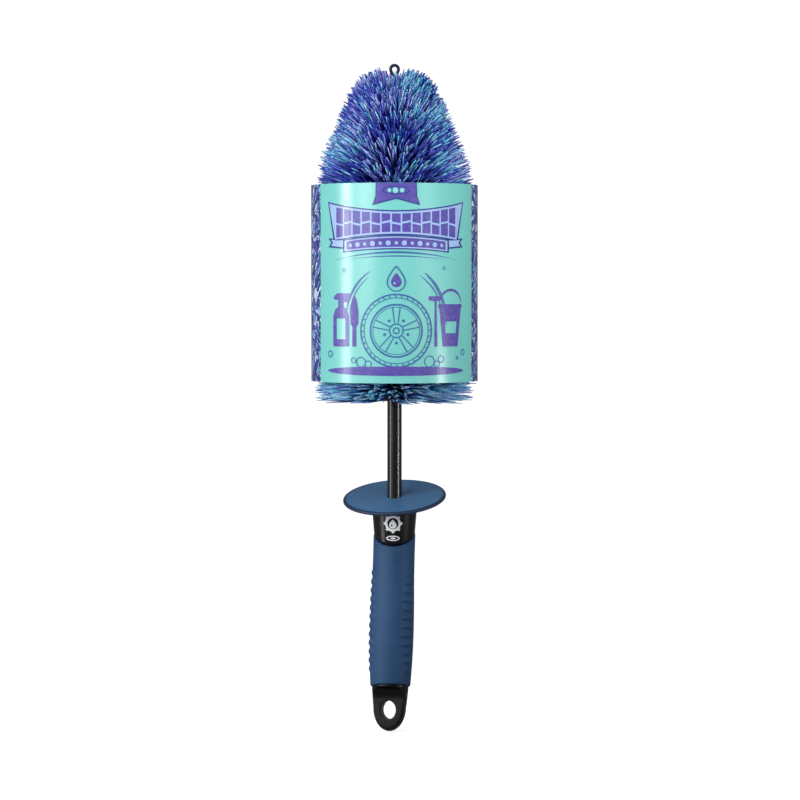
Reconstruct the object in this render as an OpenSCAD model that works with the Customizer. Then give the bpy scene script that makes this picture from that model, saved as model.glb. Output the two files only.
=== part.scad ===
// Wheel brush for car washing: a twisted-wire head of soft bristles on a tube,
// with an oblique splash guard, an over-moulded handle and a printed card sleeve.
// Millimetres. +Z runs up the shaft towards the tip, the handle's front faces -Y.
// The origin is the centre of the hang hole, where the brush is hung up.

/* [Overall] */
// Height of the wire loop's top above the end of the tail
tip_height = 460; // [430:1:560]
// Height of the guard's centre on the shaft above the end of the tail
guard_height = 160.3; // [155:0.1:194]
// Height of the tube's open end, where the bristles begin
tube_height = 229; // [222:1:240]

/* [Bristle head] */
// Largest radius of the free bristle ends
head_radius = 55; // [46:0.5:56]
// Height of the bristle nose's shoulder, where the head starts to taper
shoulder_height = 376; // [365:1:385]

/* [Core wire] */
// Diameter of one strand of the twisted wire
wire_d = 2.2; // [1.8:0.1:2.7]
// Height taken up by one full turn of the twist
wire_pitch = 24; // [20:1:40]
// Turn of the tip loop about the shaft, in degrees
loop_turn = 14; // [0:1:90]

/* [Shaft] */
// Outer diameter of the tube
tube_d = 10; // [9:0.1:12]
// Inner diameter of the tube
tube_bore = 7; // [6.4:0.1:7.4]

/* [Splash guard] */
// Diameter of the guard
guard_d = 71.5; // [56:0.5:86]
// Thickness of the guard
guard_t = 2.4; // [1.6:0.1:3.2]
// Tilt of the guard, front edge down, in degrees
guard_tilt = 15; // [8:1:18]

/* [Handle] */
// Height where the handle starts to lean and the grip begins
grip_top = 135; // [131:0.5:137]
// Height of the grip's lower edge at the sides
grip_low = 30.4; // [28:0.2:33]
// Tilt of the grip's upper edge, front edge down, in degrees
edge_tilt = 25; // [15:1:27]
// Turn of the grip's two slanted edges about the handle, in degrees
edge_turn = 11; // [0:1:20]
// Forward lean of the handle, in degrees
lean = 6.6; // [3:0.1:7.4]
// Largest radius of the grip's belly
belly_radius = 15.2; // [14.8:0.1:18.4]
// Radius of the collar under the guard
collar_radius = 16.2; // [15.4:0.1:19.5]
// Number of ribs on each flank of the grip
rib_count = 12; // [8:1:16]
// Height of the ribs above the grip
rib_height = 0.6; // [0.3:0.1:0.9]

/* [Tail] */
// Width of the tail at the hang hole
tail_width = 22.8; // [20:0.2:23.4]
// Thickness of the tail between its flat faces
tail_t = 9.6; // [8:0.2:12]
// Width of the hang hole
hole_w = 10.6; // [8:0.2:12.4]
// Length of the hang hole
hole_l = 12.6; // [11:0.2:15.2]

/* [Card sleeve] */
// Outer diameter of the sleeve
sleeve_d = 115.5; // [115:0.5:140]
// Length of the sleeve
sleeve_len = 134.7; // [108:0.1:160]
// Height of the sleeve's lower edge above the end of the tail
sleeve_height = 241.5; // [238:0.1:252]
// Thickness of the card
card_t = 0.4; // [0.3:0.05:0.6]

/* [Hidden] */
$fn = 96;

tube_r = tube_d / 2;
bore_r = tube_bore / 2;
wire_r = wire_d / 2;
strand_r = wire_r + 0.05;          // from the twist's axis to a strand's centre
twist_r = strand_r + wire_r;       // outside of the twisted pair
wire_hole_r = twist_r + 0.1;
fill_bore_r = twist_r + 0.55;

hole_height = 14.4;                // hang hole's centre above the end of the tail
hole_drop = (grip_top - hole_height) / cos(lean);
hole_y = -hole_drop * sin(lean);

tube_low = grip_top - 43;          // foot of the tube inside the handle
anchor_low = tube_low + 1;
anchor_high = anchor_low + 25;
pin_height = tube_low + 6;
pin_r = 1.2;
seat_gap = 0.02;                   // around the tube in the core
core_r = 12;                       // core's body inside the grip
wire_low = anchor_low + 11.5;
bush_high = tube_height + 2;

guard_gap = 0.15;                  // between the guard and the collar's top
collar_top = guard_height - (guard_t / 2 + guard_gap) / cos(guard_tilt);
low_tilt = -14;                    // tilt of the grip's lower edge, front edge up
low_y = -(grip_top - grip_low) * tan(lean);

root_high = 261;
big = 400;

function smooth(u) = u * u * (3 - 2 * u);

// Everything is drawn with z = 0 at the end of the tail and then put in the row's frame.
module place() {
    translate([0, -hole_y, -hole_height]) children();
}

// The handle's own frame: its axis leans forward from the collar.
module handle_frame() {
    translate([0, 0, grip_top]) rotate([-lean, 0, 0]) children();
}

// The space above or below a slanted plane through the middle of the handle at height z.
module above(z, tilt, y = 0, turn = 0) {
    translate([0, y, z]) rotate([0, 0, turn]) rotate([tilt, 0, 0])
        translate([-big / 2, -big / 2, 0]) cube(big);
}

module below(z, tilt, y = 0, turn = 0) {
    translate([0, y, z]) rotate([0, 0, turn]) rotate([tilt, 0, 0])
        translate([-big / 2, -big / 2, -big]) cube(big);
}

// ---------- core wire: one wire, folded at the tip loop, its two legs twisted ----------
ring_sides = 8;
loop_r = 2.7;                                    // loop's centre line
loop_z = tip_height - wire_r - loop_r;           // centre of the loop's round top
twist_high = loop_z - 6.5;                       // the legs part here
rings_per_turn = 9;
leg_rings = round((twist_high - wire_low) / wire_pitch * rings_per_turn);
leg_step = (twist_high - wire_low) / leg_rings;
part_rings = 3;
arc_rings = 9;

function leg_angle(z) = (z - twist_high) / wire_pitch * 360;
function leg_point(z, side) =
    [strand_r * cos(leg_angle(z) + side), strand_r * sin(leg_angle(z) + side), z];
function part_x(u) = strand_r + (loop_r - strand_r) * smooth(u);

up_leg = [for (i = [0:leg_rings]) leg_point(wire_low + i * leg_step, 0)];
up_part = [for (i = [1:part_rings]) [part_x(i / (part_rings + 1)), 0,
           twist_high + (loop_z - twist_high) * i / (part_rings + 1)]];
arc = [for (i = [0:arc_rings]) [loop_r * cos(180 * i / arc_rings), 0,
       loop_z + loop_r * sin(180 * i / arc_rings)]];
down_part = [for (i = [part_rings:-1:1]) [-part_x(i / (part_rings + 1)), 0,
             twist_high + (loop_z - twist_high) * i / (part_rings + 1)]];
down_leg = [for (i = [leg_rings:-1:0]) leg_point(wire_low + i * leg_step, 180)];
path = concat(up_leg, up_part, arc, down_part, down_leg);

// Each ring's first corner points away from the loop's centre, so the tube never rolls.
straight_rings = leg_rings + 1 + part_rings;
outs = concat([for (i = [1:straight_rings]) [1, 0, 0]],
              [for (i = [0:arc_rings]) [cos(180 * i / arc_rings), 0, sin(180 * i / arc_rings)]],
              [for (i = [1:straight_rings]) [-1, 0, 0]]);

last = len(path) - 1;
function unit(v) = v / norm(v);
function heading(i) = i == 0 ? unit(path[1] - path[0])
    : i == last ? unit(path[last] - path[last - 1])
    : unit(path[i + 1] - path[i - 1]);
function side_of(i) = unit(cross(heading(i), outs[i]));
function normal_of(i) = cross(side_of(i), heading(i));
wire_points = [for (i = [0:last]) for (k = [0:ring_sides - 1])
    path[i] + wire_r * (cos(360 * k / ring_sides) * normal_of(i)
                        + sin(360 * k / ring_sides) * side_of(i))];
function ring(i, k) = i * ring_sides + k % ring_sides;
wire_walls = [for (i = [0:last - 1]) for (k = [0:ring_sides - 1]) for (half = [0, 1])
    half == 0 ? [ring(i, k), ring(i + 1, k), ring(i + 1, k + 1)]
              : [ring(i, k), ring(i + 1, k + 1), ring(i, k + 1)]];
wire_foot = [for (k = [1:ring_sides - 2]) [ring(0, 0), ring(0, k), ring(0, k + 1)]];
wire_head = [for (k = [1:ring_sides - 2]) [ring(last, 0), ring(last, k + 1), ring(last, k)]];

module core_wire() {
    color([0.12, 0.12, 0.13]) place() rotate([0, 0, loop_turn])
        polyhedron(points = wire_points, faces = concat(wire_walls, wire_foot, wire_head),
                   convexity = 10);
}

// ---------- bristle fill, as three zones with different trimmed outlines ----------
module fill(outline) {
    place() rotate_extrude() polygon(outline);
}

module bristle_root() {
    color([0.21, 0.27, 0.53]) fill([
        [fill_bore_r, bush_high],
        [tube_r + 1, bush_high],
        [head_radius * 0.55, bush_high - 2.5],
        [head_radius * 0.96, bush_high - 5],
        [head_radius, bush_high - 1],
        [head_radius, root_high],
        [fill_bore_r, root_high]]);
}

module bristle_barrel() {
    waist = shoulder_height - 38;
    color([0.24, 0.32, 0.58]) fill([
        [fill_bore_r, root_high],
        [head_radius, root_high],
        [head_radius, waist],
        [head_radius * 0.985, shoulder_height - 20],
        [head_radius * 0.95, shoulder_height],
        [fill_bore_r, shoulder_height]]);
}

// Radius of the nose as a share of the head, against the share of the nose's height.
nose_outline = [[0, 0.95], [0.11, 0.915], [0.22, 0.89], [0.33, 0.845], [0.44, 0.79],
                [0.55, 0.7], [0.66, 0.63], [0.78, 0.565], [0.86, 0.5], [0.93, 0.42],
                [0.97, 0.33], [1, 0.2]];

module bristle_nose() {
    nose_top = tip_height - 4;
    nose_len = nose_top - shoulder_height;
    mouth_r = loop_r + wire_r + 0.5;
    color([0.26, 0.34, 0.62]) fill(concat(
        [[fill_bore_r, shoulder_height]],
        [for (p = nose_outline) [head_radius * p[1], shoulder_height + nose_len * p[0]]],
        [[mouth_r, nose_top], [mouth_r, twist_high + 2], [fill_bore_r, twist_high - 1]]));
}

// ---------- shaft ----------
module wire_bush() {
    color([0.1, 0.1, 0.11]) place() difference() {
        union() {
            translate([0, 0, tube_height - 12]) cylinder(r = bore_r, h = 14);
            translate([0, 0, tube_height]) cylinder(r = tube_r, h = 2);
        }
        translate([0, 0, tube_height - 13]) cylinder(r = wire_hole_r, h = 16);
    }
}

module shaft_tube() {
    color([0.05, 0.05, 0.06]) place() difference() {
        translate([0, 0, tube_low]) cylinder(r = tube_r, h = tube_height - tube_low);
        translate([0, 0, tube_low - 1]) cylinder(r = bore_r, h = tube_height - tube_low + 2);
        pin_space(tube_d + 2);
    }
}

module wire_anchor() {
    color([0.75, 0.75, 0.72]) place() difference() {
        translate([0, 0, anchor_low]) cylinder(r = bore_r, h = anchor_high - anchor_low);
        translate([0, 0, wire_low - 0.5]) cylinder(r = wire_hole_r, h = anchor_high - wire_low + 1);
        pin_space(tube_d + 2);
    }
}

pin_len = 20.8;
module pin_space(length) {
    translate([-length / 2, 0, pin_height]) rotate([0, 90, 0])
        cylinder(r = pin_r, h = length, $fn = 32);
}

module anchor_pin() {
    color([0.7, 0.7, 0.72]) place() pin_space(pin_len);
}

// ---------- splash guard ----------
module splash_guard() {
    rim = guard_t / 2;
    color([0.2, 0.33, 0.5]) place() difference() {
        translate([0, 0, guard_height]) rotate([guard_tilt, 0, 0])
            rotate_extrude() union() {
                translate([0, -rim]) square([guard_d / 2 - rim, guard_t]);
                intersection() {
                    translate([guard_d / 2 - rim, 0]) circle(r = rim, $fn = 32);
                    translate([0, -rim]) square([guard_d, guard_t]);
                }
            }
        translate([0, 0, guard_height - 20]) cylinder(r = tube_r + 0.04, h = 40);
    }
}

// ---------- handle ----------
// Stations are heights above the end of the tail; t runs along the leaning axis.
function along(z) = (z - grip_top) / cos(lean);

grip_stations = [[24, 13.6], [32, 14.0], [40, 14.45], [48, 14.8], [58, 15.1], [68, 15.2],
                 [79, 15.1], [90, 14.9], [99, 14.65], [108, 14.5], [118, 14.45], [152, 14.5]];
belly_scale = belly_radius / 15.2;
function grip_r(z) = lookup(z, grip_stations) * belly_scale;

tail_r = tail_width / 2;
tail_round = 16;                         // half-height of the tail's rounded end
tail_mid = tail_round - 0.2;
function tail_end_r(u) = tail_r * sqrt(max(0, 1 - u * u));
tail_outline = concat(
    [[0, along(grip_low + 8)], [tail_r * 1.145, along(grip_low + 8)],
     [tail_r * 1.12, along(grip_low)], [tail_r * 1.04, along(tail_mid + 4)]],
    [for (i = [0:15]) [tail_end_r(sin(90 * i / 16)), along(tail_mid - tail_round * sin(90 * i / 16))]],
    [[0, along(tail_mid - tail_round)]]);

scoop_r = 8.4;
scoop_t = along(grip_low - 8.2);

module flat_cut() {
    translate([-big / 2, -tail_t / 2 - big, scoop_t - big]) cube([big, big, big]);
    translate([-big / 2, -tail_t / 2 - scoop_r, scoop_t]) rotate([0, 90, 0])
        cylinder(r = scoop_r, h = big);
}

module tail() {
    difference() {
        handle_frame() difference() {
            rotate_extrude() polygon(tail_outline);
            flat_cut();
            rotate([0, 0, 180]) flat_cut();
            translate([0, 0, -hole_drop]) rotate([90, 0, 0]) translate([0, 0, -20])
                linear_extrude(40) scale([hole_w / 2, hole_l / 2]) circle(r = 1);
        }
        above(grip_low, low_tilt, low_y, edge_turn);
    }
}

module collar() {
    difference() {
        translate([0, 0, grip_top - 9]) cylinder(
            r1 = collar_radius - 2.8, r2 = collar_radius + 0.7, h = guard_height - grip_top + 18);
        below(grip_top, edge_tilt, 0, edge_turn);
        above(collar_top, guard_tilt);
    }
}

module handle_core() {
    color([0.09, 0.09, 0.1]) place() difference() {
        union() {
            collar();
            tail();
            difference() {
                handle_frame() translate([0, 0, along(grip_low - 6)])
                    cylinder(r = core_r, h = grip_top + 9 - grip_low + 6);
                below(grip_low, low_tilt, low_y, edge_turn);
            }
        }
        translate([0, 0, tube_low]) cylinder(r = tube_r + seat_gap, h = big);
        pin_space(pin_len);
    }
}

rib_low = 42;
rib_high = 108;
rib_minor = 1.3;
rib_forward = 4.6;                       // middle of the ribbed field, towards the front
rib_reach = 6.2;                         // half of its width

module ribs() {
    step = (rib_high - rib_low) / (rib_count - 1);
    intersection() {
        handle_frame() union() for (i = [0:rib_count - 1])
            translate([0, 0, along(rib_low + i * step)]) rotate_extrude()
                translate([grip_r(rib_low + i * step) - rib_minor + rib_height, 0])
                    circle(r = rib_minor, $fn = 24);
        handle_frame() translate([-big / 2, -rib_forward, along((rib_low + rib_high) / 2)])
            rotate([90, 0, 90]) linear_extrude(big)
                scale([rib_reach, (rib_high - rib_low) / 2 + 4]) circle(r = 1);
    }
}

module grip_sleeve() {
    color([0.2, 0.33, 0.5]) place() difference() {
        union() {
            handle_frame() rotate_extrude() polygon(concat(
                [[0, along(22)]],
                [for (z = [22:4:150]) [grip_r(z), along(z)]],
                [[0, along(150)]]));
            ribs();
        }
        handle_frame() translate([0, 0, along(10)]) cylinder(r = core_r, h = 160);
        above(grip_top, edge_tilt, 0, edge_turn);
        below(grip_low, low_tilt, low_y, edge_turn);
    }
}

// ---------- card sleeve ----------
module card_sleeve() {
    color([0.48, 0.78, 0.76]) place() translate([0, 0, sleeve_height]) difference() {
        cylinder(d = sleeve_d, h = sleeve_len);
        translate([0, 0, -1]) cylinder(d = sleeve_d - 2 * card_t, h = sleeve_len + 2);
    }
}

// The card's glued lap, down the back of the sleeve.
module sleeve_seam() {
    lap = 12;
    color([0.37, 0.47, 0.63]) place() translate([0, 0, sleeve_height]) intersection() {
        difference() {
            cylinder(d = sleeve_d + 2 * card_t, h = sleeve_len);
            translate([0, 0, -1]) cylinder(d = sleeve_d, h = sleeve_len + 2);
        }
        translate([-lap / 2, 0, -1]) cube([lap, sleeve_d, sleeve_len + 2]);
    }
}

core_wire();
bristle_root();
bristle_barrel();
bristle_nose();
wire_bush();
shaft_tube();
wire_anchor();
anchor_pin();
handle_core();
grip_sleeve();
splash_guard();
card_sleeve();
sleeve_seam();
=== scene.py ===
# %% [markdown]
# # A wheel brush
#
# This notebook dresses the CAD frame of a car-wash wheel brush: a tapered head of soft
# two-colour bristles, a slim gloss tube, an oblique rubber splash guard, a soft ribbed grip
# and a printed card sleeve. The frame gives every size and place. The cells below only add
# what a CAD model can't hold: thousands of filaments, ink, soft edges and surface finish.

import math

import bmesh
import bpy
import numpy as np
from mathutils import Matrix, Vector


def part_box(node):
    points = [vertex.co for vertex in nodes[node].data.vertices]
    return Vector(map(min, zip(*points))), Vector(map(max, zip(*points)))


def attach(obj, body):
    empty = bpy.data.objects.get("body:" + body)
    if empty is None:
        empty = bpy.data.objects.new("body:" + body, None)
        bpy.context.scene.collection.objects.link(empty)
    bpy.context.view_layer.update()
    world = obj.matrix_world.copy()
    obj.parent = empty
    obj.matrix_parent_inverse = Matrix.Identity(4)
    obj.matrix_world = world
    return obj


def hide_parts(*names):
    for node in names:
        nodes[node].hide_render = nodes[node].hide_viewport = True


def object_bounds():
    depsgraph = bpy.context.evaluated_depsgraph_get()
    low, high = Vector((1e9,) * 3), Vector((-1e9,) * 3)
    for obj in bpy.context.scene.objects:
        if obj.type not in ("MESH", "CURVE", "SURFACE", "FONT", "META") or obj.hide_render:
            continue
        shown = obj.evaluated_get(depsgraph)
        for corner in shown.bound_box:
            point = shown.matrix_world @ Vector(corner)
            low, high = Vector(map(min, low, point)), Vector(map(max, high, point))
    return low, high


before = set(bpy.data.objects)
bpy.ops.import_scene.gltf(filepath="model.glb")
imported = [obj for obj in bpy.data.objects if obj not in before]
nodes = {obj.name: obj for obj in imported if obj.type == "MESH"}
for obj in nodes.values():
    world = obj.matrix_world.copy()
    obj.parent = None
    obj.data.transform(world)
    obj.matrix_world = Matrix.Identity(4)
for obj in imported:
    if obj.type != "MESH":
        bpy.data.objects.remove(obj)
cad_box = [list(corner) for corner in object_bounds()]
print("CAD box", cad_box)

# %% [markdown]
# ## Places taken from the frame
#
# Every piece goes where the CAD says. The shaft is vertical, so its axis is one x and one y,
# and everything on it is a height. The handle leans forward, and its front faces -Y.

# %% Read the places
MM = 0.001


def low(node):
    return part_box(node)[0]


def high(node):
    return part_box(node)[1]


def middle(node):
    return (low(node) + high(node)) / 2


axis_x, axis_y = middle("shaft_tube").x, middle("shaft_tube").y
tube_top = high("shaft_tube").z
tube_r = (high("shaft_tube").x - low("shaft_tube").x) / 2
tip_top = high("core_wire").z
sleeve_low, sleeve_high = low("card_sleeve").z, high("card_sleeve").z
sleeve_r = (high("card_sleeve").x - low("card_sleeve").x) / 2
head_r = (high("bristle_barrel").x - low("bristle_barrel").x) / 2
root_top = high("bristle_root").z
shoulder = high("bristle_barrel").z
print(f"shaft at y={axis_y:.4f}, head radius {head_r:.4f}, sleeve radius {sleeve_r:.4f}")

# %% [markdown]
# ## Camera, light and floor
#
# The brush is seen level with the middle of its sleeve, from a long way off, with the front of the
# handle turned a little to the left. Everything stands on a small white floor. A tall strip lamp on
# the left draws the long highlight down the sleeve and the tube, a short one on the right draws the
# tube's second highlight, a large one in front is the key, a near one at the sleeve's height lifts
# its right side, and a pale world fills in the rest.

# %% Camera
CAMERA_AZIMUTH = math.radians(14)
CAMERA_DISTANCE = 1.95
FRAME_WIDTH = 0.5540        # what the frame spans at the brush
EYE_HEIGHT = 0.295          # level with the sleeve's middle
FRAME_MIDDLE = 0.2136       # height in the middle of the frame
AXIS_LEFT_OF_MIDDLE = 0.0038


def around(azimuth, distance, height):
    """A point seen from the shaft at that azimuth: 0 is the handle's front, -Y."""
    return Vector((axis_x + distance * math.sin(azimuth),
                   axis_y - distance * math.cos(azimuth), height))


camera = bpy.data.objects.new("camera", bpy.data.cameras.new("camera"))
bpy.context.scene.collection.objects.link(camera)
camera.location = around(CAMERA_AZIMUTH, CAMERA_DISTANCE, EYE_HEIGHT)
down = math.atan2(EYE_HEIGHT - FRAME_MIDDLE, CAMERA_DISTANCE)
camera.rotation_euler = (math.radians(90) - down, 0, CAMERA_AZIMUTH)
camera.data.sensor_width = 36
camera.data.lens = 36 * CAMERA_DISTANCE / math.cos(down) / FRAME_WIDTH
camera.data.shift_x = AXIS_LEFT_OF_MIDDLE / FRAME_WIDTH
bpy.context.scene.camera = camera
print(f"lens {camera.data.lens:.0f} mm, looking {math.degrees(down):.1f} degrees down")

# %% Lamps and world
TARGET = Vector((axis_x, axis_y, 0.25))


def softbox(name, azimuth, distance, height, size, watts, beam=180):
    """A rectangular lamp that faces the shaft. Azimuth is from the camera, right positive."""
    lamp = bpy.data.objects.new(name, bpy.data.lights.new(name, "AREA"))
    bpy.context.scene.collection.objects.link(lamp)
    lamp.data.shape = "RECTANGLE"
    lamp.data.size, lamp.data.size_y = size
    lamp.data.energy = watts
    lamp.data.spread = math.radians(beam)
    lamp.location = around(CAMERA_AZIMUTH + math.radians(azimuth), distance, height)
    aim_height = height if abs(azimuth) > 50 or beam < 180 else TARGET.z
    aim = Vector((axis_x, axis_y, aim_height)) - lamp.location
    lamp.rotation_euler = aim.to_track_quat("-Z", "Y").to_euler()
    return lamp


softbox("left_strip", -69, 1.1, 0.30, (0.19, 1.1), 6.6)
softbox("left_glow", -66, 1.1, 0.42, (0.26, 0.26), 1.2)
softbox("key", -40, 2.0, 0.8, (0.9, 0.9), 17)
right_fill = softbox("right_fill", 42, 0.55, 0.40, (0.25, 0.26), 0.31, beam=70)
right_fill.visible_glossy = False       # it lifts the sleeve's right side without a glare
softbox("right_strip", 66, 0.7, 0.15, (0.10, 0.09), 0.12, beam=60)
softbox("top_soft", -10, 0.9, 1.6, (0.9, 0.9), 8)
back_soft = softbox("back_soft", 178, 2.0, 0.5, (1.2, 1.2), 9)
back_soft.visible_glossy = False

world = bpy.data.worlds.new("studio")
bpy.context.scene.world = world
world.use_nodes = True
sky = world.node_tree
seen = sky.nodes.new("ShaderNodeLightPath")
white = sky.nodes.new("ShaderNodeBackground")
white.inputs["Color"].default_value = (1, 1, 1, 1)
white.inputs["Strength"].default_value = 1.05
fill = sky.nodes["Background"]
fill.inputs["Color"].default_value = (0.93, 0.96, 1.0, 1)
fill.inputs["Strength"].default_value = 0.20
choose = sky.nodes.new("ShaderNodeMixShader")
sky.links.new(seen.outputs["Is Camera Ray"], choose.inputs[0])
sky.links.new(fill.outputs[0], choose.inputs[1])
sky.links.new(white.outputs[0], choose.inputs[2])
sky.links.new(choose.outputs[0], sky.nodes["World Output"].inputs["Surface"])
bpy.context.scene.view_settings.view_transform = "Standard"

# %% Floor
floor_mesh = bpy.data.meshes.new("floor")
builder = bmesh.new()
bmesh.ops.create_circle(builder, cap_ends=True, segments=96, radius=0.30)
builder.to_mesh(floor_mesh)
builder.free()
floor = bpy.data.objects.new("floor", floor_mesh)
bpy.context.scene.collection.objects.link(floor)
floor.location = (axis_x, axis_y, cad_box[0][2] - 0.0006)
paper = bpy.data.materials.new("white_paper")
paper.use_nodes = True
paper_bsdf = paper.node_tree.nodes["Principled BSDF"]
paper_bsdf.inputs["Base Color"].default_value = (0.9, 0.9, 0.9, 1)
paper_bsdf.inputs["Roughness"].default_value = 0.95
paper_bsdf.inputs["Specular IOR Level"].default_value = 0.0
paper_bsdf.inputs["Emission Color"].default_value = (1, 1, 1, 1)
paper_bsdf.inputs["Emission Strength"].default_value = 0.70
floor_mesh.materials.append(paper)
floor.visible_diffuse = floor.visible_glossy = False    # it throws no light on the handle

# %% [markdown]
# ## Two helpers for node trees
#
# Materials and Geometry Nodes are both trees of nodes with sockets. `add` makes one node,
# sets its options, and either links or fills each input. With it, a formula reads like code.

# %% Node helpers


def add(tree, kind, inputs=(), **options):
    node = tree.nodes.new(kind)
    for option, value in options.items():
        setattr(node, option, value)
    pairs = inputs.items() if isinstance(inputs, dict) else enumerate(inputs)
    for socket, value in pairs:
        if isinstance(value, bpy.types.NodeSocket):
            tree.links.new(value, node.inputs[socket])
        elif value is not None:
            node.inputs[socket].default_value = value
    return node


def maths(tree, operation, *values):
    return add(tree, "ShaderNodeMath", values, operation=operation).outputs[0]


def vectors(tree, operation, *values, output=0):
    return add(tree, "ShaderNodeVectorMath", values, operation=operation).outputs[output]


def linear(red, green, blue):
    """Screen colour (0-255) as the linear colour that shaders use."""
    parts = [c / 255 for c in (red, green, blue)]
    return tuple(c / 12.92 if c <= 0.04045 else ((c + 0.055) / 1.055) ** 2.4
                 for c in parts) + (1,)


def ramp(tree, factor, stops, interpolation="LINEAR"):
    node = add(tree, "ShaderNodeValToRGB", [factor])
    node.color_ramp.interpolation = interpolation
    elements = node.color_ramp.elements
    while len(elements) > 1:
        elements.remove(elements[-1])
    elements[0].position, elements[0].color = stops[0]
    for place, colour in stops[1:]:
        elements.new(place).color = colour
    return node.outputs["Color"]


def mix_colour(tree, factor, first, second, blend="MIX"):
    node = tree.nodes.new("ShaderNodeMix")
    node.data_type, node.blend_type = "RGBA", blend
    for socket, value in ((0, factor), (6, first), (7, second)):
        if isinstance(value, bpy.types.NodeSocket):
            tree.links.new(value, node.inputs[socket])
        else:
            node.inputs[socket].default_value = value
    return node.outputs[2]


# %% [markdown]
# ## Moulded and drawn finishes
#
# Plastic, rubber and wire are never one flat colour. Each finish here drifts slowly between
# two close colours, its roughness drifts too, and a fine grain moves the normal. Patterns
# are read from Object coordinates, in metres, so a scale of 900 is a grain of about 1 mm.

# %% A finish


def finish(name, dark, light, rough, grain, bump, drift=60, stretch=(1, 1, 1), coat=0.0,
           metal=0.0, sheen=0.0, specular=0.5):
    material = bpy.data.materials.new(name)
    material.use_nodes = True
    tree = material.node_tree
    shader = tree.nodes["Principled BSDF"]
    place = add(tree, "ShaderNodeTexCoord").outputs["Object"]
    slow = add(tree, "ShaderNodeTexNoise", {"Vector": place, "Scale": drift, "Detail": 4.0})
    stretched = vectors(tree, "MULTIPLY", place, stretch)
    fine = add(tree, "ShaderNodeTexNoise",
               {"Vector": stretched, "Scale": grain, "Detail": 3.0, "Roughness": 0.6})
    blend = maths(tree, "ADD", maths(tree, "MULTIPLY", slow.outputs[0], 0.75),
                  maths(tree, "MULTIPLY", fine.outputs[0], 0.25))
    colour = ramp(tree, blend, [(0.3, dark), (0.7, light)])
    tree.links.new(colour, shader.inputs["Base Color"])
    spread = add(tree, "ShaderNodeMapRange",
                 {"Value": blend, "From Min": 0.3, "From Max": 0.7,
                  "To Min": rough[0], "To Max": rough[1]})
    tree.links.new(spread.outputs[0], shader.inputs["Roughness"])
    relief = add(tree, "ShaderNodeBump",
                 {"Height": fine.outputs[0], "Strength": bump, "Distance": 0.0002})
    tree.links.new(relief.outputs[0], shader.inputs["Normal"])
    shader.inputs["Coat Weight"].default_value = coat
    shader.inputs["Coat Roughness"].default_value = 0.2
    shader.inputs["Metallic"].default_value = metal
    shader.inputs["Sheen Weight"].default_value = sheen
    shader.inputs["Specular IOR Level"].default_value = specular
    return material


gloss_black = finish("gloss_black_tube", linear(4, 5, 5), linear(9, 10, 10), (0.26, 0.31),
                     900, 0.004, drift=30, stretch=(1, 1, 0.003), coat=0.1)
satin_black = finish("satin_black_moulding", linear(5, 5, 7), linear(9, 10, 11),
                     (0.26, 0.36), 2600, 0.06, drift=80, specular=0.32)
soft_blue = finish("soft_blue_grip", linear(34, 66, 102), linear(43, 79, 119), (0.52, 0.66),
                   3200, 0.22, drift=70, specular=0.25)
guard_blue = finish("satin_blue_guard", linear(60, 103, 144), linear(72, 116, 158),
                    (0.40, 0.54), 2400, 0.12, drift=55, specular=0.35)
coated_wire = finish("dark_coated_wire", linear(18, 20, 44), linear(40, 44, 78),
                     (0.28, 0.42), 1500, 0.10, drift=300, stretch=(1, 1, 0.3), metal=0.25)
white_nylon = finish("white_nylon", linear(190, 188, 180), linear(208, 206, 198),
                     (0.45, 0.6), 1800, 0.08)
bright_pin = finish("drawn_steel_pin", linear(140, 142, 146), linear(176, 178, 182),
                    (0.22, 0.34), 1200, 0.08, stretch=(0.1, 1, 1), metal=1.0)
bush_black = finish("black_bush", linear(20, 20, 22), linear(30, 30, 33), (0.45, 0.6),
                    2200, 0.12)
print("finishes", len(bpy.data.materials))


def dress(node, material):
    """Gives a CAD node that stays on show its finish."""
    mesh = nodes[node].data
    mesh.materials.clear()
    mesh.materials.append(material)


for node, material in (("wire_bush", bush_black), ("wire_anchor", white_nylon),
                       ("anchor_pin", bright_pin)):
    dress(node, material)

# %% [markdown]
# ## Bristles
#
# A twisted-wire brush holds its filaments in the twist, so each one starts at the wire and
# runs outwards. They were laid in tufts, and a tuft's tips stay together. Hair curves could
# do this, but they would not export as a mesh. So one three-sided filament is instanced on
# points, made real, and then bent: every filament follows a curve from the wire, through a
# knee, to its own tip on the head's trimmed outline. Its tone and its place along its length
# go into a UV map, and one small palette material paints them all.

# %% Filament tree
CYAN_PATCHES = [        # azimuth from the handle's front, height, half angle, half height
    (math.radians(66), 0.410, 0.62, 0.015), (math.radians(60), 0.434, 0.75, 0.009),
    (math.radians(-50), 0.389, 0.50, 0.011), (math.radians(52), 0.377, 0.42, 0.007),
    (math.radians(-140), 0.402, 0.60, 0.016), (math.radians(165), 0.376, 0.50, 0.010),
    (math.radians(-75), 0.345, 0.60, 0.016), (math.radians(35), 0.325, 0.70, 0.014),
    (math.radians(130), 0.300, 0.70, 0.018), (math.radians(-160), 0.275, 0.80, 0.016),
    (math.radians(-30), 0.262, 0.60, 0.012), (math.radians(-60), 0.232, 0.45, 0.008),
    (math.radians(75), 0.230, 0.40, 0.008), (math.radians(170), 0.230, 0.60, 0.008)]


def random_value(tree, least, most, identity, seed, offset):
    node = add(tree, "FunctionNodeRandomValue", data_type="FLOAT")
    node.inputs[2].default_value, node.inputs[3].default_value = least, most
    tree.links.new(identity, node.inputs["ID"])
    tree.links.new(maths(tree, "ADD", seed, offset), node.inputs["Seed"])
    return node.outputs[1]


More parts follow.
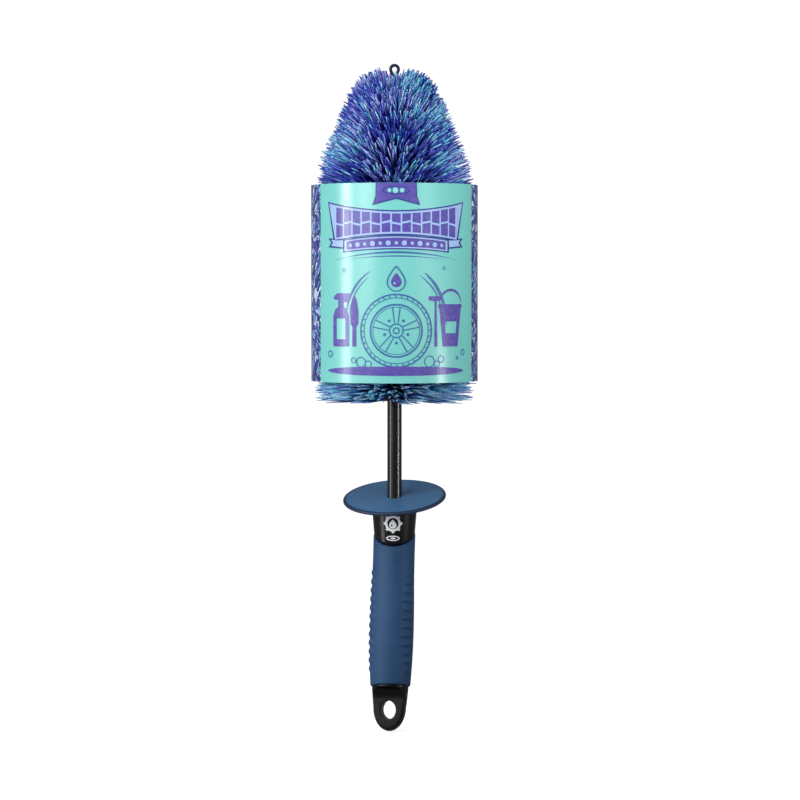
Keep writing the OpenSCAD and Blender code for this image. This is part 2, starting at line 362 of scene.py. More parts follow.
def store(tree, geometry, name, value, domain="POINT", kind="FLOAT"):
    node = add(tree, "GeometryNodeStoreNamedAttribute", {"Geometry": geometry, "Name": name},
               data_type=kind, domain=domain)
    tree.links.new(value, node.inputs["Value"])
    return node.outputs[0]


def stored(tree, name):
    return add(tree, "GeometryNodeInputNamedAttribute", {"Name": name},
               data_type="FLOAT").outputs[0]


def curve_of(tree, value, points):
    node = add(tree, "ShaderNodeFloatCurve", {"Value": value})
    line = node.mapping.curves[0]
    line.points[0].location, line.points[1].location = points[0], points[-1]
    for point in points[1:-1]:
        line.points.new(*point)
    for point in line.points:
        point.handle_type = "AUTO_CLAMPED"
    node.mapping.update()
    return node.outputs[0]


BRISTLE_INPUTS = {
    "Filaments": ("NodeSocketInt", 1000), "Tuft": ("NodeSocketInt", 6),
    "Seed": ("NodeSocketInt", 1), "Low": ("NodeSocketFloat", 0.0),
    "High": ("NodeSocketFloat", 0.1), "Head Radius": ("NodeSocketFloat", 0.05),
    "Wire Radius": ("NodeSocketFloat", 0.002), "Thickness": ("NodeSocketFloat", 0.0004),
    "Rise Low": ("NodeSocketFloat", 0.01), "Rise High": ("NodeSocketFloat", 0.02),
    "Lift": ("NodeSocketFloat", 0.2), "Tuft Spread": ("NodeSocketFloat", 0.002),
    "Wander": ("NodeSocketFloat", 0.002), "Highest Root": ("NodeSocketFloat", 1.0),
    "Cyan": ("NodeSocketFloat", 0.3), "Shade Lift": ("NodeSocketFloat", 0.0),
    "Dip": ("NodeSocketFloat", 0.0), "Axis": ("NodeSocketVector", (0, 0, 0)),
    "Palette": ("NodeSocketMaterial", None),
}


def bristle_tree(name, outline):
    """Geometry Nodes that grow one zone of bristles. outline gives (share of the height,
    share of the head radius) for the tips."""
    tree = bpy.data.node_groups.new(name, "GeometryNodeTree")
    for label, (kind, value) in BRISTLE_INPUTS.items():
        socket = tree.interface.new_socket(label, in_out="INPUT", socket_type=kind)
        if value is not None:
            socket.default_value = value
    tree.interface.new_socket("Geometry", in_out="OUTPUT", socket_type="NodeSocketGeometry")
    given = tree.nodes.new("NodeGroupInput").outputs
    seed = given["Seed"]

    # One point for each filament. Most of what varies belongs to the whole tuft.
    points = add(tree, "GeometryNodePoints", {"Count": given["Filaments"]}).outputs[0]
    index = add(tree, "GeometryNodeInputIndex").outputs[0]
    tuft = maths(tree, "FLOOR", maths(tree, "DIVIDE", index, given["Tuft"]))
    spread = given["Tuft Spread"]
    turn = random_value(tree, -math.pi, math.pi, tuft, seed, 1)
    height = random_value(tree, 0.0, 1.0, tuft, seed, 2)
    reach = maths(tree, "MULTIPLY", given["Head Radius"], curve_of(tree, height, outline))
    reach = maths(tree, "MULTIPLY", reach, random_value(tree, 0.88, 1.04, tuft, seed, 3))
    reach = maths(tree, "MULTIPLY", reach, random_value(tree, 0.95, 1.0, index, seed, 4))
    turn = maths(tree, "ADD", turn, maths(tree, "DIVIDE", maths(tree, "MULTIPLY",
                 random_value(tree, -0.4, 0.4, index, seed, 5), spread), reach))
    tip = maths(tree, "ADD", given["Low"], maths(tree, "MULTIPLY", height,
                maths(tree, "SUBTRACT", given["High"], given["Low"])))
    tip = maths(tree, "ADD", tip, maths(tree, "MULTIPLY", given["Wander"],
                random_value(tree, -1.0, 1.0, tuft, seed, 6)))
    # Near the top, tufts turned towards or away from the camera get lower tips, so the crown dips in
    # front of the wire's loop.
    facing = maths(tree, "COSINE", maths(tree, "SUBTRACT", turn, CAMERA_AZIMUTH - math.pi / 2))
    near_top = add(tree, "ShaderNodeMapRange", {"Value": height, "From Min": 0.75}).outputs[0]
    facing = maths(tree, "MULTIPLY", facing, facing)
    tip = maths(tree, "SUBTRACT", tip, maths(tree, "MULTIPLY", maths(
        tree, "MULTIPLY", facing, facing), maths(tree, "MULTIPLY", near_top, given["Dip"])))
    rise = add(tree, "ShaderNodeMapRange", {"Value": height, "To Min": given["Rise Low"],
                                            "To Max": given["Rise High"]}).outputs[0]
    rise = maths(tree, "MULTIPLY", rise, random_value(tree, 0.7, 1.3, tuft, seed, 7))
    root = maths(tree, "MINIMUM", maths(tree, "SUBTRACT", tip, rise), given["Highest Root"])
    knee = maths(tree, "ADD", root, maths(tree, "MULTIPLY", maths(
        tree, "SUBTRACT", tip, root), given["Lift"]))
    sway = maths(tree, "MULTIPLY", reach, maths(
        tree, "ADD", random_value(tree, -0.20, 0.20, tuft, seed, 8),
        random_value(tree, -0.022, 0.022, index, seed, 9)))
    fan = maths(tree, "MULTIPLY", random_value(tree, -1.0, 1.0, index, seed, 10), spread)
    fan_up = maths(tree, "MULTIPLY", random_value(tree, -1.0, 1.0, index, seed, 11), spread)

    # The first filament of each tuft leads: it is stouter and lies on top, and its paler tone is a
    # painted highlight, the bright line along each tuft.
    leads = maths(tree, "LESS_THAN", maths(tree, "MODULO", index, given["Tuft"]), 0.5)
    follows = maths(tree, "SUBTRACT", 1.0, leads)
    fan = maths(tree, "MULTIPLY", fan, follows)
    fan_up = maths(tree, "ADD", maths(tree, "MULTIPLY", fan_up, follows),
                   maths(tree, "MULTIPLY", maths(tree, "MULTIPLY", leads, spread), 0.7))
    bulk = maths(tree, "ADD", maths(tree, "MULTIPLY", leads, 0.70),
                 random_value(tree, 0.82, 1.05, index, seed, 15))

    # Tone: mostly indigo and blue, with cyan tufts gathered in a few dyed patches.
    patch = None
    for azimuth, at_height, wide, tall in CYAN_PATCHES:
        off_turn = maths(tree, "DIVIDE", maths(tree, "SUBTRACT", 1.0, maths(tree, "COSINE",
                         maths(tree, "SUBTRACT", turn, azimuth - math.pi / 2))), wide * wide / 2)
        off_height = maths(tree, "POWER", maths(tree, "ABSOLUTE", maths(
            tree, "DIVIDE", maths(tree, "SUBTRACT", tip, at_height), tall)), 2.0)
        blob = maths(tree, "EXPONENT", maths(tree, "MULTIPLY", maths(
            tree, "ADD", off_turn, off_height), -1.0))
        patch = blob if patch is None else maths(tree, "MAXIMUM", patch, blob)
    chance = maths(tree, "ADD", given["Cyan"], maths(tree, "MULTIPLY", patch, 0.72))
    is_cyan = maths(tree, "LESS_THAN", random_value(tree, 0.0, 1.0, tuft, seed, 12), chance)
    shade = maths(tree, "ADD", random_value(tree, 0.0, 0.72, tuft, seed, 13),
                  random_value(tree, 0.0, 0.28, index, seed, 14))
    spot = add(tree, "ShaderNodeCombineXYZ", [
        maths(tree, "MULTIPLY", maths(tree, "COSINE", turn), reach),
        maths(tree, "MULTIPLY", maths(tree, "SINE", turn), reach), tip]).outputs[0]
    # Painted highlight: leading filaments turn paler, towards lavender, in noise blotches.
    blotch = add(tree, "ShaderNodeTexNoise", {"Vector": spot, "Scale": 34.0, "Detail": 1.0})
    leader_highlight = add(tree, "ShaderNodeMapRange", {"Value": blotch.outputs[0], "From Min": 0.38,
                                           "From Max": 0.56}).outputs[0]
    # A constant added to the blue tone: painted light that makes a zone's bristles paler.
    blue_tone = maths(tree, "ADD", given["Shade Lift"], maths(tree, "MULTIPLY", shade, maths(
        tree, "ADD", 0.31, maths(tree, "MULTIPLY", leads, -0.09))))
    blue_tone = maths(tree, "ADD", blue_tone, maths(tree, "MULTIPLY", leads, maths(
        tree, "ADD", 0.17, maths(tree, "MULTIPLY", leader_highlight, 0.25))))
    cyan_tone = maths(tree, "ADD", maths(tree, "MULTIPLY", shade, 0.15), maths(
        tree, "ADD", 0.66, maths(tree, "MULTIPLY", leads, 0.16)))
    tone = maths(tree, "ADD", maths(tree, "MULTIPLY", cyan_tone, is_cyan),
                 maths(tree, "MULTIPLY", blue_tone, maths(tree, "SUBTRACT", 1.0, is_cyan)))
    for label, value in (("turn", turn), ("reach", reach), ("root", root), ("knee", knee),
                         ("tip", tip), ("sway", sway), ("fan", fan), ("fan_up", fan_up),
                         ("bulk", bulk), ("tone", tone)):
        points = store(tree, points, label, value)

    # One straight three-sided filament, one unit long, on every point.
    rod = add(tree, "GeometryNodeMeshCylinder", {"Vertices": 3, "Side Segments": 4,
              "Radius": 1.0, "Depth": 1.0}, fill_type="NGON").outputs["Mesh"]
    many = add(tree, "GeometryNodeInstanceOnPoints", {"Points": points, "Instance": rod})
    real = add(tree, "GeometryNodeRealizeInstances", [many.outputs[0]]).outputs[0]

    # Bend each one along its own curve: wire, knee, tip.
    local = add(tree, "ShaderNodeSeparateXYZ", [add(tree, "GeometryNodeInputPosition").outputs[0]])
    along = maths(tree, "ADD", local.outputs["Z"], 0.5)
    back = maths(tree, "SUBTRACT", 1.0, along)
    real = store(tree, real, "along", along)
    real = store(tree, real, "across", local.outputs["X"])
    share_a = maths(tree, "MULTIPLY", back, back)
    share_b = maths(tree, "MULTIPLY", maths(tree, "MULTIPLY", along, back), 2.0)
    share_c = maths(tree, "MULTIPLY", along, along)
    turn, reach, root, knee, tip, sway, fan, fan_up, bulk = (stored(tree, n) for n in (
        "turn", "reach", "root", "knee", "tip", "sway", "fan", "fan_up", "bulk"))
    wire = given["Wire Radius"]
    bend = maths(tree, "MULTIPLY", reach, 0.55)

    def along_curve(first, second, third):
        return maths(tree, "ADD", maths(tree, "MULTIPLY", share_a, first),
                     maths(tree, "ADD", maths(tree, "MULTIPLY", share_b, second),
                           maths(tree, "MULTIPLY", share_c, third)))

    def slope(first, second, third):
        return maths(tree, "ADD",
                     maths(tree, "MULTIPLY", back, maths(tree, "SUBTRACT", second, first)),
                     maths(tree, "MULTIPLY", along, maths(tree, "SUBTRACT", third, second)))

    out, up = along_curve(wire, bend, reach), along_curve(root, knee, tip)
    out_slope, up_slope = slope(wire, bend, reach), slope(root, knee, tip)
    length = maths(tree, "SQRT", maths(tree, "ADD",
                   maths(tree, "MULTIPLY", out_slope, out_slope),
                   maths(tree, "MULTIPLY", up_slope, up_slope)))
    taper = curve_of(tree, along, [(0, 0.8), (0.6, 1.0), (0.92, 0.95), (1, 0.45)])
    width = maths(tree, "MULTIPLY", maths(tree, "MULTIPLY", given["Thickness"], taper), bulk)
    beside = maths(tree, "ADD", maths(tree, "MULTIPLY", local.outputs["X"], width),
                   maths(tree, "MULTIPLY", share_c, sway))
    beside = maths(tree, "ADD", beside, maths(tree, "MULTIPLY", share_b, fan))
    up = maths(tree, "ADD", up, maths(tree, "MULTIPLY", share_b, fan_up))
    over = maths(tree, "DIVIDE", maths(tree, "MULTIPLY", local.outputs["Y"], width), length)
    out = maths(tree, "SUBTRACT", out, maths(tree, "MULTIPLY", over, up_slope))
    up = maths(tree, "ADD", up, maths(tree, "MULTIPLY", over, out_slope))
    cosine, sine = maths(tree, "COSINE", turn), maths(tree, "SINE", turn)
    place = add(tree, "ShaderNodeCombineXYZ", [
        maths(tree, "SUBTRACT", maths(tree, "MULTIPLY", out, cosine),
              maths(tree, "MULTIPLY", beside, sine)),
        maths(tree, "ADD", maths(tree, "MULTIPLY", out, sine),
              maths(tree, "MULTIPLY", beside, cosine)), up]).outputs[0]
    bent = add(tree, "GeometryNodeSetPosition", {
        "Geometry": real, "Position": vectors(tree, "ADD", place, given["Axis"])}).outputs[0]

    # The palette map: tone across, length up. A filament keeps a sliver of width in it.
    palette = add(tree, "ShaderNodeCombineXYZ", [
        maths(tree, "ADD", stored(tree, "tone"),
              maths(tree, "MULTIPLY", stored(tree, "across"), 0.012)),
        stored(tree, "along"), 0.0]).outputs[0]
    for label in ("strand", "OFBake"):
        bent = store(tree, bent, label, palette, "CORNER", "FLOAT2")
    smooth = add(tree, "GeometryNodeSetShadeSmooth", {"Geometry": bent}).outputs[0]
    done = add(tree, "GeometryNodeSetMaterial", {"Geometry": smooth,
                                                 "Material": given["Palette"]}).outputs[0]
    tree.links.new(done, tree.nodes.new("NodeGroupOutput").inputs[0])
    return tree


# %% [markdown]
# The palette runs from dark indigo through blue and lavender to cyan. A filament is painted darker
# near the wire, a painted shade for the shade its neighbours cast there, and a little paler at its
# cut tip.

# %% Bristle palette
bristle_finish = bpy.data.materials.new("soft_filament")
bristle_finish.use_nodes = True
shades = bristle_finish.node_tree
filament = shades.nodes["Principled BSDF"]
strand = add(shades, "ShaderNodeUVMap", uv_map="strand").outputs[0]
split = add(shades, "ShaderNodeSeparateXYZ", [strand])
hue = ramp(shades, split.outputs["X"], [
    (0.00, linear(26, 27, 112)), (0.12, linear(34, 37, 142)), (0.24, linear(46, 53, 172)),
    (0.36, linear(62, 78, 196)), (0.42, linear(112, 128, 220)), (0.52, linear(156, 172, 236)),
    (0.62, linear(206, 216, 250)), (0.66, linear(26, 98, 176)), (0.80, linear(58, 162, 218)),
    (0.84, linear(124, 214, 236)), (0.98, linear(204, 244, 250))])
# Painted shade along each filament: darkest at the wire, full colour towards the tip.
painted_root_shade = ramp(shades, split.outputs["Y"], [
    (0.0, (0.10, 0.10, 0.22, 1)), (0.5, (0.24, 0.24, 0.40, 1)), (0.72, (0.6, 0.6, 0.72, 1)),
    (0.88, (1.0, 1.0, 1.0, 1))])
painted = mix_colour(shades, 1.0, hue, painted_root_shade, "MULTIPLY")
shades.links.new(painted, filament.inputs["Base Color"])
filament.inputs["Roughness"].default_value = 0.36
filament.inputs["Specular IOR Level"].default_value = 0.4

# %% Grow the head


def empty_object(name):
    thing = bpy.data.objects.new(name, bpy.data.meshes.new(name))
    bpy.context.scene.collection.objects.link(thing)
    return thing


def made_real(thing):
    """Turns an object's live modifiers into its own plain mesh."""
    bpy.context.view_layer.update()
    graph = bpy.context.evaluated_depsgraph_get()
    mesh = bpy.data.meshes.new_from_object(thing.evaluated_get(graph), depsgraph=graph)
    thing.modifiers.clear()
    thing.data = mesh
    mesh.name = thing.name
    return thing


def triangles(thing):
    return sum(len(p.vertices) - 2 for p in thing.data.polygons)


def grow(name, tree, node, **sizes):
    thing = empty_object(name)
    modifier = thing.modifiers.new("bristles", "NODES")
    modifier.node_group = tree
    sockets = {s.name: s.identifier for s in tree.interface.items_tree if s.in_out == "INPUT"}
    sizes |= {"Palette": bristle_finish, "Axis": (axis_x, axis_y, 0.0)}
    for label, value in sizes.items():
        modifier[sockets[label]] = value
    made_real(thing)
    keep = {"strand", "OFBake"}
    for attribute in [a.name for a in thing.data.attributes
                      if a.name in ("turn", "reach", "root", "knee", "tip", "sway", "fan",
                                    "fan_up", "bulk", "tone", "along", "across")]:
        thing.data.attributes.remove(thing.data.attributes[attribute])
    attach(thing, "brush")
    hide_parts(node)
    print(f"{name}: {triangles(thing)} triangles, maps {sorted(keep)}")
    return thing


NOSE = [(0.0, 0.97), (0.10, 0.955), (0.20, 0.94), (0.30, 0.905), (0.40, 0.85), (0.50, 0.77),
        (0.60, 0.71), (0.70, 0.655), (0.78, 0.59), (0.86, 0.52), (0.93, 0.43), (1.0, 0.20)]
BARREL = [(0.0, 1.0), (0.5, 1.0), (0.75, 0.99), (1.0, 0.96)]
ROOT = [(0.0, 0.96), (0.3, 0.98), (0.6, 1.0), (1.0, 1.0)]
nose_tree = bristle_tree("nose_bristles", NOSE)
barrel_tree = bristle_tree("barrel_bristles", BARREL)
root_tree = bristle_tree("root_bristles", ROOT)

FILAMENT = 0.40 * MM
BRISTLED_TO = tip_top - 10.5 * MM       # the wire's legs part above this
for number in (1, 2):
    grow(f"nose_bristles_{number}", nose_tree, "bristle_nose", Filaments=6400, Tuft=3,
         Seed=20 * number, Low=shoulder - 6 * MM, High=tip_top - 3.5 * MM,
         **{"Head Radius": head_r, "Wire Radius": 1.8 * MM, "Thickness": FILAMENT,
            "Rise Low": 11 * MM, "Rise High": 26 * MM, "Lift": 0.30, "Wander": 1.6 * MM,
            "Highest Root": BRISTLED_TO, "Tuft Spread": 1.4 * MM, "Cyan": 0.14,
            "Dip": 4 * MM})
for number in (1, 2):
    grow(f"barrel_bristles_{number}", barrel_tree, "bristle_barrel", Filaments=7200, Tuft=3,
         Seed=20 * number + 100, Low=root_top - 3 * MM, High=shoulder - 2 * MM,
         **{"Head Radius": head_r, "Wire Radius": 1.8 * MM, "Thickness": FILAMENT,
            "Rise Low": 6 * MM, "Rise High": 10 * MM, "Lift": 0.30, "Wander": 1.6 * MM,
            "Tuft Spread": 1.4 * MM, "Cyan": 0.14})
# The root bristles' tones are raised by a constant, painted light that lifts the shade the sleeve
# casts on them.
grow("root_bristles_1", root_tree, "bristle_root", Filaments=5200, Tuft=3, Seed=201,
     Low=tube_top - 0.5 * MM, High=root_top,
     **{"Head Radius": head_r, "Wire Radius": 2.0 * MM, "Thickness": FILAMENT,
        "Rise Low": -2 * MM, "Rise High": 7 * MM, "Lift": 0.5, "Wander": 3.2 * MM,
        "Tuft Spread": 1.4 * MM, "Cyan": 0.34, "Shade Lift": 0.34})

# %% [markdown]
# ## Core wire
#
# One dark coated wire is folded at the tip and its two legs are twisted together. It is
# swept along a path of points, and each ring of the tube faces along the path. The ring's
# first corner always points away from the loop, so the tube never rolls.

# %% Sweep the wire
WIRE_R = 1.1 * MM
LEG_OFFSET = 1.15 * MM
LOOP_R = 2.7 * MM
TWIST_PITCH = 24 * MM
LOOP_TURN = math.radians(14)
loop_z = tip_top - WIRE_R - LOOP_R
twist_top = loop_z - 5.0 * MM
wire_foot = low("core_wire").z + 0.4 * MM


def mesh_object(name, points, faces, material=None):
    mesh = bpy.data.meshes.new(name)
    mesh.from_pydata([tuple(p) for p in points], [], faces)
    mesh.update()
    thing = bpy.data.objects.new(name, mesh)
    bpy.context.scene.collection.objects.link(thing)
    if material is not None:
        mesh.materials.append(material)
    return thing


def smooth_faces(thing, angle=None):
    mesh = thing.data
    mesh.polygons.foreach_set("use_smooth", [True] * len(mesh.polygons))
    if angle is not None:
        mesh.set_sharp_from_angle(angle=math.radians(angle))
    return thing


def sweep(path, outward, radius, sides):
    """A closed round tube along path. outward gives each ring's first corner."""
    path, outward = np.array(path), np.array(outward)
    heading = np.gradient(path, axis=0)
    heading /= np.linalg.norm(heading, axis=1)[:, None]
    side = np.cross(heading, outward)
    side /= np.linalg.norm(side, axis=1)[:, None]
    normal = np.cross(side, heading)
    angle = np.linspace(0, 2 * math.pi, sides, endpoint=False)
    ring = (np.cos(angle)[None, :, None] * normal[:, None]
            + np.sin(angle)[None, :, None] * side[:, None]) * radius
    points = (path[:, None] + ring).reshape(-1, 3)
    faces = [(i * sides + k, i * sides + (k + 1) % sides,
              (i + 1) * sides + (k + 1) % sides, (i + 1) * sides + k)
             for i in range(len(path) - 1) for k in range(sides)]
    faces.append(tuple(reversed(range(sides))))
    faces.append(tuple((len(path) - 1) * sides + k for k in range(sides)))
    return points, faces


leg_z = np.arange(wire_foot, twist_top, TWIST_PITCH / 26)
leg_turn = (leg_z - twist_top) / TWIST_PITCH * 2 * math.pi
leg = np.stack([LEG_OFFSET * np.cos(leg_turn), LEG_OFFSET * np.sin(leg_turn), leg_z], 1)
part = np.linspace(0, 1, 10)[:-1]
ease = part * part * (3 - 2 * part)
parting = np.stack([LEG_OFFSET + (LOOP_R - LEG_OFFSET) * ease, part * 0,
                    twist_top + (loop_z - twist_top) * part], 1)
bow = np.linspace(0, math.pi, 25)
over = np.stack([LOOP_R * np.cos(bow), bow * 0, loop_z + LOOP_R * np.sin(bow)], 1)
half_turn = np.array([-1, -1, 1])
wire_path = np.concatenate([leg, parting, over, (parting * half_turn)[::-1],
                            (leg * half_turn)[::-1]])
straight = len(leg) + len(parting)
wire_out = np.concatenate([np.tile([1.0, 0, 0], (straight, 1)),
                           np.stack([np.cos(bow), bow * 0, np.sin(bow)], 1),
                           np.tile([-1.0, 0, 0], (straight, 1))])
wire_points, wire_faces = sweep(wire_path, wire_out, WIRE_R, 12)
turned = Matrix.Rotation(LOOP_TURN, 3, "Z")
wire_points = [turned @ Vector(p) + Vector((axis_x, axis_y, 0)) for p in wire_points]
twisted_wire = smooth_faces(mesh_object("twisted_wire", wire_points, wire_faces, coated_wire))
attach(twisted_wire, "brush")
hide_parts("core_wire")
print("wire", triangles(twisted_wire), "triangles")

# %% [markdown]
# ## Shaft tube
#
# The tube is turned from a closed profile, so its long highlights run straight, and its cut
# ends are broken by a small chamfer. The same helper would turn any round part.

# %% Turn the tube


def lathed(name, profile, sides, material):
    """A closed ring of profile points (radius, height) turned about the shaft's axis."""
    points = [(axis_x + r * math.cos(2 * math.pi * k / sides),
               axis_y + r * math.sin(2 * math.pi * k / sides), z)
              for r, z in profile for k in range(sides)]
    count = len(profile)
    faces = [(i * sides + k, (i + 1) % count * sides + k,
              (i + 1) % count * sides + (k + 1) % sides, i * sides + (k + 1) % sides)
             for i in range(count) for k in range(sides)]
    return mesh_object(name, points, faces, material)


BORE_R, CHAMFER = 3.5 * MM, 0.3 * MM
tube_low = low("shaft_tube").z
gloss_tube = lathed("gloss_tube", [
    (BORE_R + CHAMFER, tube_top), (tube_r - CHAMFER, tube_top), (tube_r, tube_top - CHAMFER),
    (tube_r, tube_low + CHAMFER), (tube_r - CHAMFER, tube_low), (BORE_R + CHAMFER, tube_low),
    (BORE_R, tube_low + CHAMFER), (BORE_R, tube_top - CHAMFER)], 72, gloss_black)
smooth_faces(gloss_tube, 30)
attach(gloss_tube, "brush")
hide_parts("shaft_tube")
print("tube", triangles(gloss_tube), "triangles")

# %% [markdown]
# ## Splash guard
#
# The guard is a soft disc with a thickened round rim and a slightly thinner web. It is turned from
# one profile about its own tilted axis, while its bore stays parallel to the shaft, so each inner
# ring is slid along the shaft to meet the tube.

# %% Turn the guard
GUARD_TILT = math.radians(15)
guard_middle = middle("splash_guard")
guard_middle = Vector((axis_x, axis_y, guard_middle.z))
guard_r = (high("splash_guard").x - low("splash_guard").x) / 2
GUARD_HALF = 1.2 * MM


def guard_half_thickness(r):
    """Half the guard's thickness: a round rim, then a slightly thinner web."""
    rim = guard_r - GUARD_HALF
    if r >= rim:
        return math.sqrt(max(0.0, GUARD_HALF ** 2 - (r - rim) ** 2))
    web = 0.86 * GUARD_HALF
    fade = min(1.0, max(0.0, (rim - r) / (2.2 * MM)))
    return GUARD_HALF + (web - GUARD_HALF) * fade * fade * (3 - 2 * fade)


rim_angles = [math.radians(a) for a in range(90, -1, -9)]
profile_r = list(np.linspace(tube_r + 0.05 * MM, guard_r - GUARD_HALF - 2.4 * MM, 14))
profile_r += list(np.linspace(guard_r - GUARD_HALF - 2.1 * MM, guard_r - GUARD_HALF, 8))
profile = [(r, guard_half_thickness(r)) for r in profile_r]
profile += [(guard_r - GUARD_HALF + GUARD_HALF * math.cos(a), GUARD_HALF * math.sin(a))
            for a in rim_angles[1:]]
profile += [(r, -h) for r, h in reversed(profile[:-1])]
SPOKES = 160
lean_guard = Matrix.Rotation(GUARD_TILT, 3, "X")
guard_points = []
for r, h in profile:
    for k in range(SPOKES):
        a = 2 * math.pi * k / SPOKES
        at = Vector((r * math.cos(a), r * math.sin(a), 0))
        if r <= tube_r + 0.06 * MM:     # the bore is round seen along the shaft
            at.y /= math.cos(GUARD_TILT)
        at = lean_guard @ at
        guard_points.append(guard_middle + at + (lean_guard @ Vector((0, 0, h))
                            if r > tube_r + 0.06 * MM else Vector((0, 0, h / math.cos(GUARD_TILT)))))
count = len(profile)
guard_faces = [(i * SPOKES + k, ((i + 1) % count) * SPOKES + k,
                ((i + 1) % count) * SPOKES + (k + 1) % SPOKES, i * SPOKES + (k + 1) % SPOKES)
               for i in range(count) for k in range(SPOKES)]
guard_disc = smooth_faces(mesh_object("guard_disc", guard_points, guard_faces, guard_blue), 50)
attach(guard_disc, "guard")
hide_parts("splash_guard")


# The rim is painted darker than the face: a painted shade for its rounded edge, which turns away
# from the light.
rim_tree = guard_blue.node_tree
rim_shader = rim_tree.nodes["Principled BSDF"]
here = vectors(rim_tree, "SUBTRACT", add(rim_tree, "ShaderNodeTexCoord").outputs["Object"],
               tuple(guard_middle))
level = vectors(rim_tree, "MULTIPLY", here, (1.0, 1 / math.cos(GUARD_TILT), 0.0))
from_axis = vectors(rim_tree, "LENGTH", level, output=1)
rim_painted_shade = add(rim_tree, "ShaderNodeMapRange", {"Value": from_axis,
             "From Min": guard_r - 2.5 * MM, "From Max": guard_r - 1.5 * MM})
face_colour = rim_shader.inputs["Base Color"].links[0].from_socket
rim_tree.links.new(mix_colour(rim_tree, rim_painted_shade.outputs[0], face_colour, linear(26, 48, 74)),
                   rim_shader.inputs["Base Color"])
print("guard", triangles(guard_disc), "triangles")

# %% [markdown]
# ## Grip
#
# The grip is soft rubber moulded over the handle. Its ends are cut at two different slants,
# so a plain lathe can't make it: here each line along the grip runs from the lower slanted
# edge to the upper one. Both edges are rounded over. The ribs come next, as Geometry Nodes.

# %% Loft the grip
LEAN_FROM = 0.1206            # height where the handle leaves the shaft's axis
lean = math.atan2(axis_y, LEAN_FROM)
handle_origin = Vector((axis_x, axis_y, LEAN_FROM))
handle_turn = Matrix.Rotation(-lean, 3, "X")
LOW_EDGE, LOW_TILT = 0.0160, math.radians(-14)
HIGH_TILT, EDGE_TURN = math.radians(25), math.radians(11)
CORE_R = 12.02 * MM
GRIP_STATIONS = [(10, 13.6), (18, 14.0), (26, 14.45), (34, 14.8), (44, 15.1), (54, 15.2),
                 (65, 15.1), (76, 14.9), (85, 14.65), (94, 14.5), (104, 14.45), (138, 14.5)]


def grip_radius(height):
    """Radius by height in the row frame, eased between stations."""
    return np.interp(height * 1000, [h for h, _ in GRIP_STATIONS],
                     [r for _, r in GRIP_STATIONS]) * MM


def on_handle(r, angle, t):
    """A point on the handle: angle 0 is the front, t is along the leaning axis."""
    return handle_origin + handle_turn @ Vector((r * math.sin(angle), -r * math.cos(angle), t))


def where_cut(r, angle, height, tilt, centre_y, start):
    """How far along the axis that line of the grip meets the slanted plane."""
    t = start
    for _ in range(8):
        at = on_handle(r, angle, t)
        uphill = (at.y - centre_y) * math.cos(EDGE_TURN) - (at.x - axis_x) * math.sin(EDGE_TURN)
        t += height + uphill * math.tan(tilt) - at.z
    return t


AROUND, ALONG, LIP = 160, 220, 1.3 * MM
low_centre_y = axis_y - (LEAN_FROM - LOW_EDGE) * math.tan(lean)
grip_points, grip_t, grip_angle, grip_edge = [], [], [], []
lip_angles = [0, 15, 30, 45, 60, 75]
for k in range(AROUND):
    angle = 2 * math.pi * k / AROUND
    t_low = where_cut(14 * MM, angle, LOW_EDGE, LOW_TILT, low_centre_y, -0.1)
    t_high = where_cut(14.5 * MM, angle, LEAN_FROM, HIGH_TILT, axis_y, 0.0)
    line = [(CORE_R, t_low, 0.0)]
    for lip in lip_angles:
        line.append((-LIP * (1 - math.sin(math.radians(lip))),
                     t_low + LIP * (1 - math.cos(math.radians(lip))), 0.0))
    for t in np.linspace(t_low + LIP, t_high - LIP, ALONG):
        inside = min(t - t_low, t_high - t) / (6 * MM)
        line.append((0.0, t, min(1.0, inside)))
    for lip in reversed(lip_angles):
        line.append((-LIP * (1 - math.sin(math.radians(lip))),
                     t_high - LIP * (1 - math.cos(math.radians(lip))), 0.0))
    line.append((CORE_R, t_high, 0.0))
    for r, t, keep in line:
        if r <= 0:
            height = LEAN_FROM + t * math.cos(lean)
            r = float(grip_radius(height)) + r
        grip_points.append(on_handle(r, angle, t))
        grip_t.append(t)
        grip_angle.append(angle)
        grip_edge.append(keep)
rows = len(grip_points) // AROUND
grip_faces = [(k * rows + i, ((k + 1) % AROUND) * rows + i,
               ((k + 1) % AROUND) * rows + (i + 1) % rows, k * rows + (i + 1) % rows)
              for k in range(AROUND) for i in range(rows)]
soft_grip = mesh_object("soft_grip", grip_points, grip_faces, soft_blue)
outwards = [handle_turn @ Vector((math.sin(a), -math.cos(a), 0)) for a in grip_angle]
for label, values in (("t", grip_t), ("angle", grip_angle), ("edge", grip_edge)):
    layer = soft_grip.data.attributes.new(label, "FLOAT", "POINT")
    layer.data.foreach_set("value", values)
layer = soft_grip.data.attributes.new("outwards", "FLOAT_VECTOR", "POINT")
layer.data.foreach_set("vector", [c for v in outwards for c in v])
print("grip", triangles(soft_grip), "triangles before its ribs")

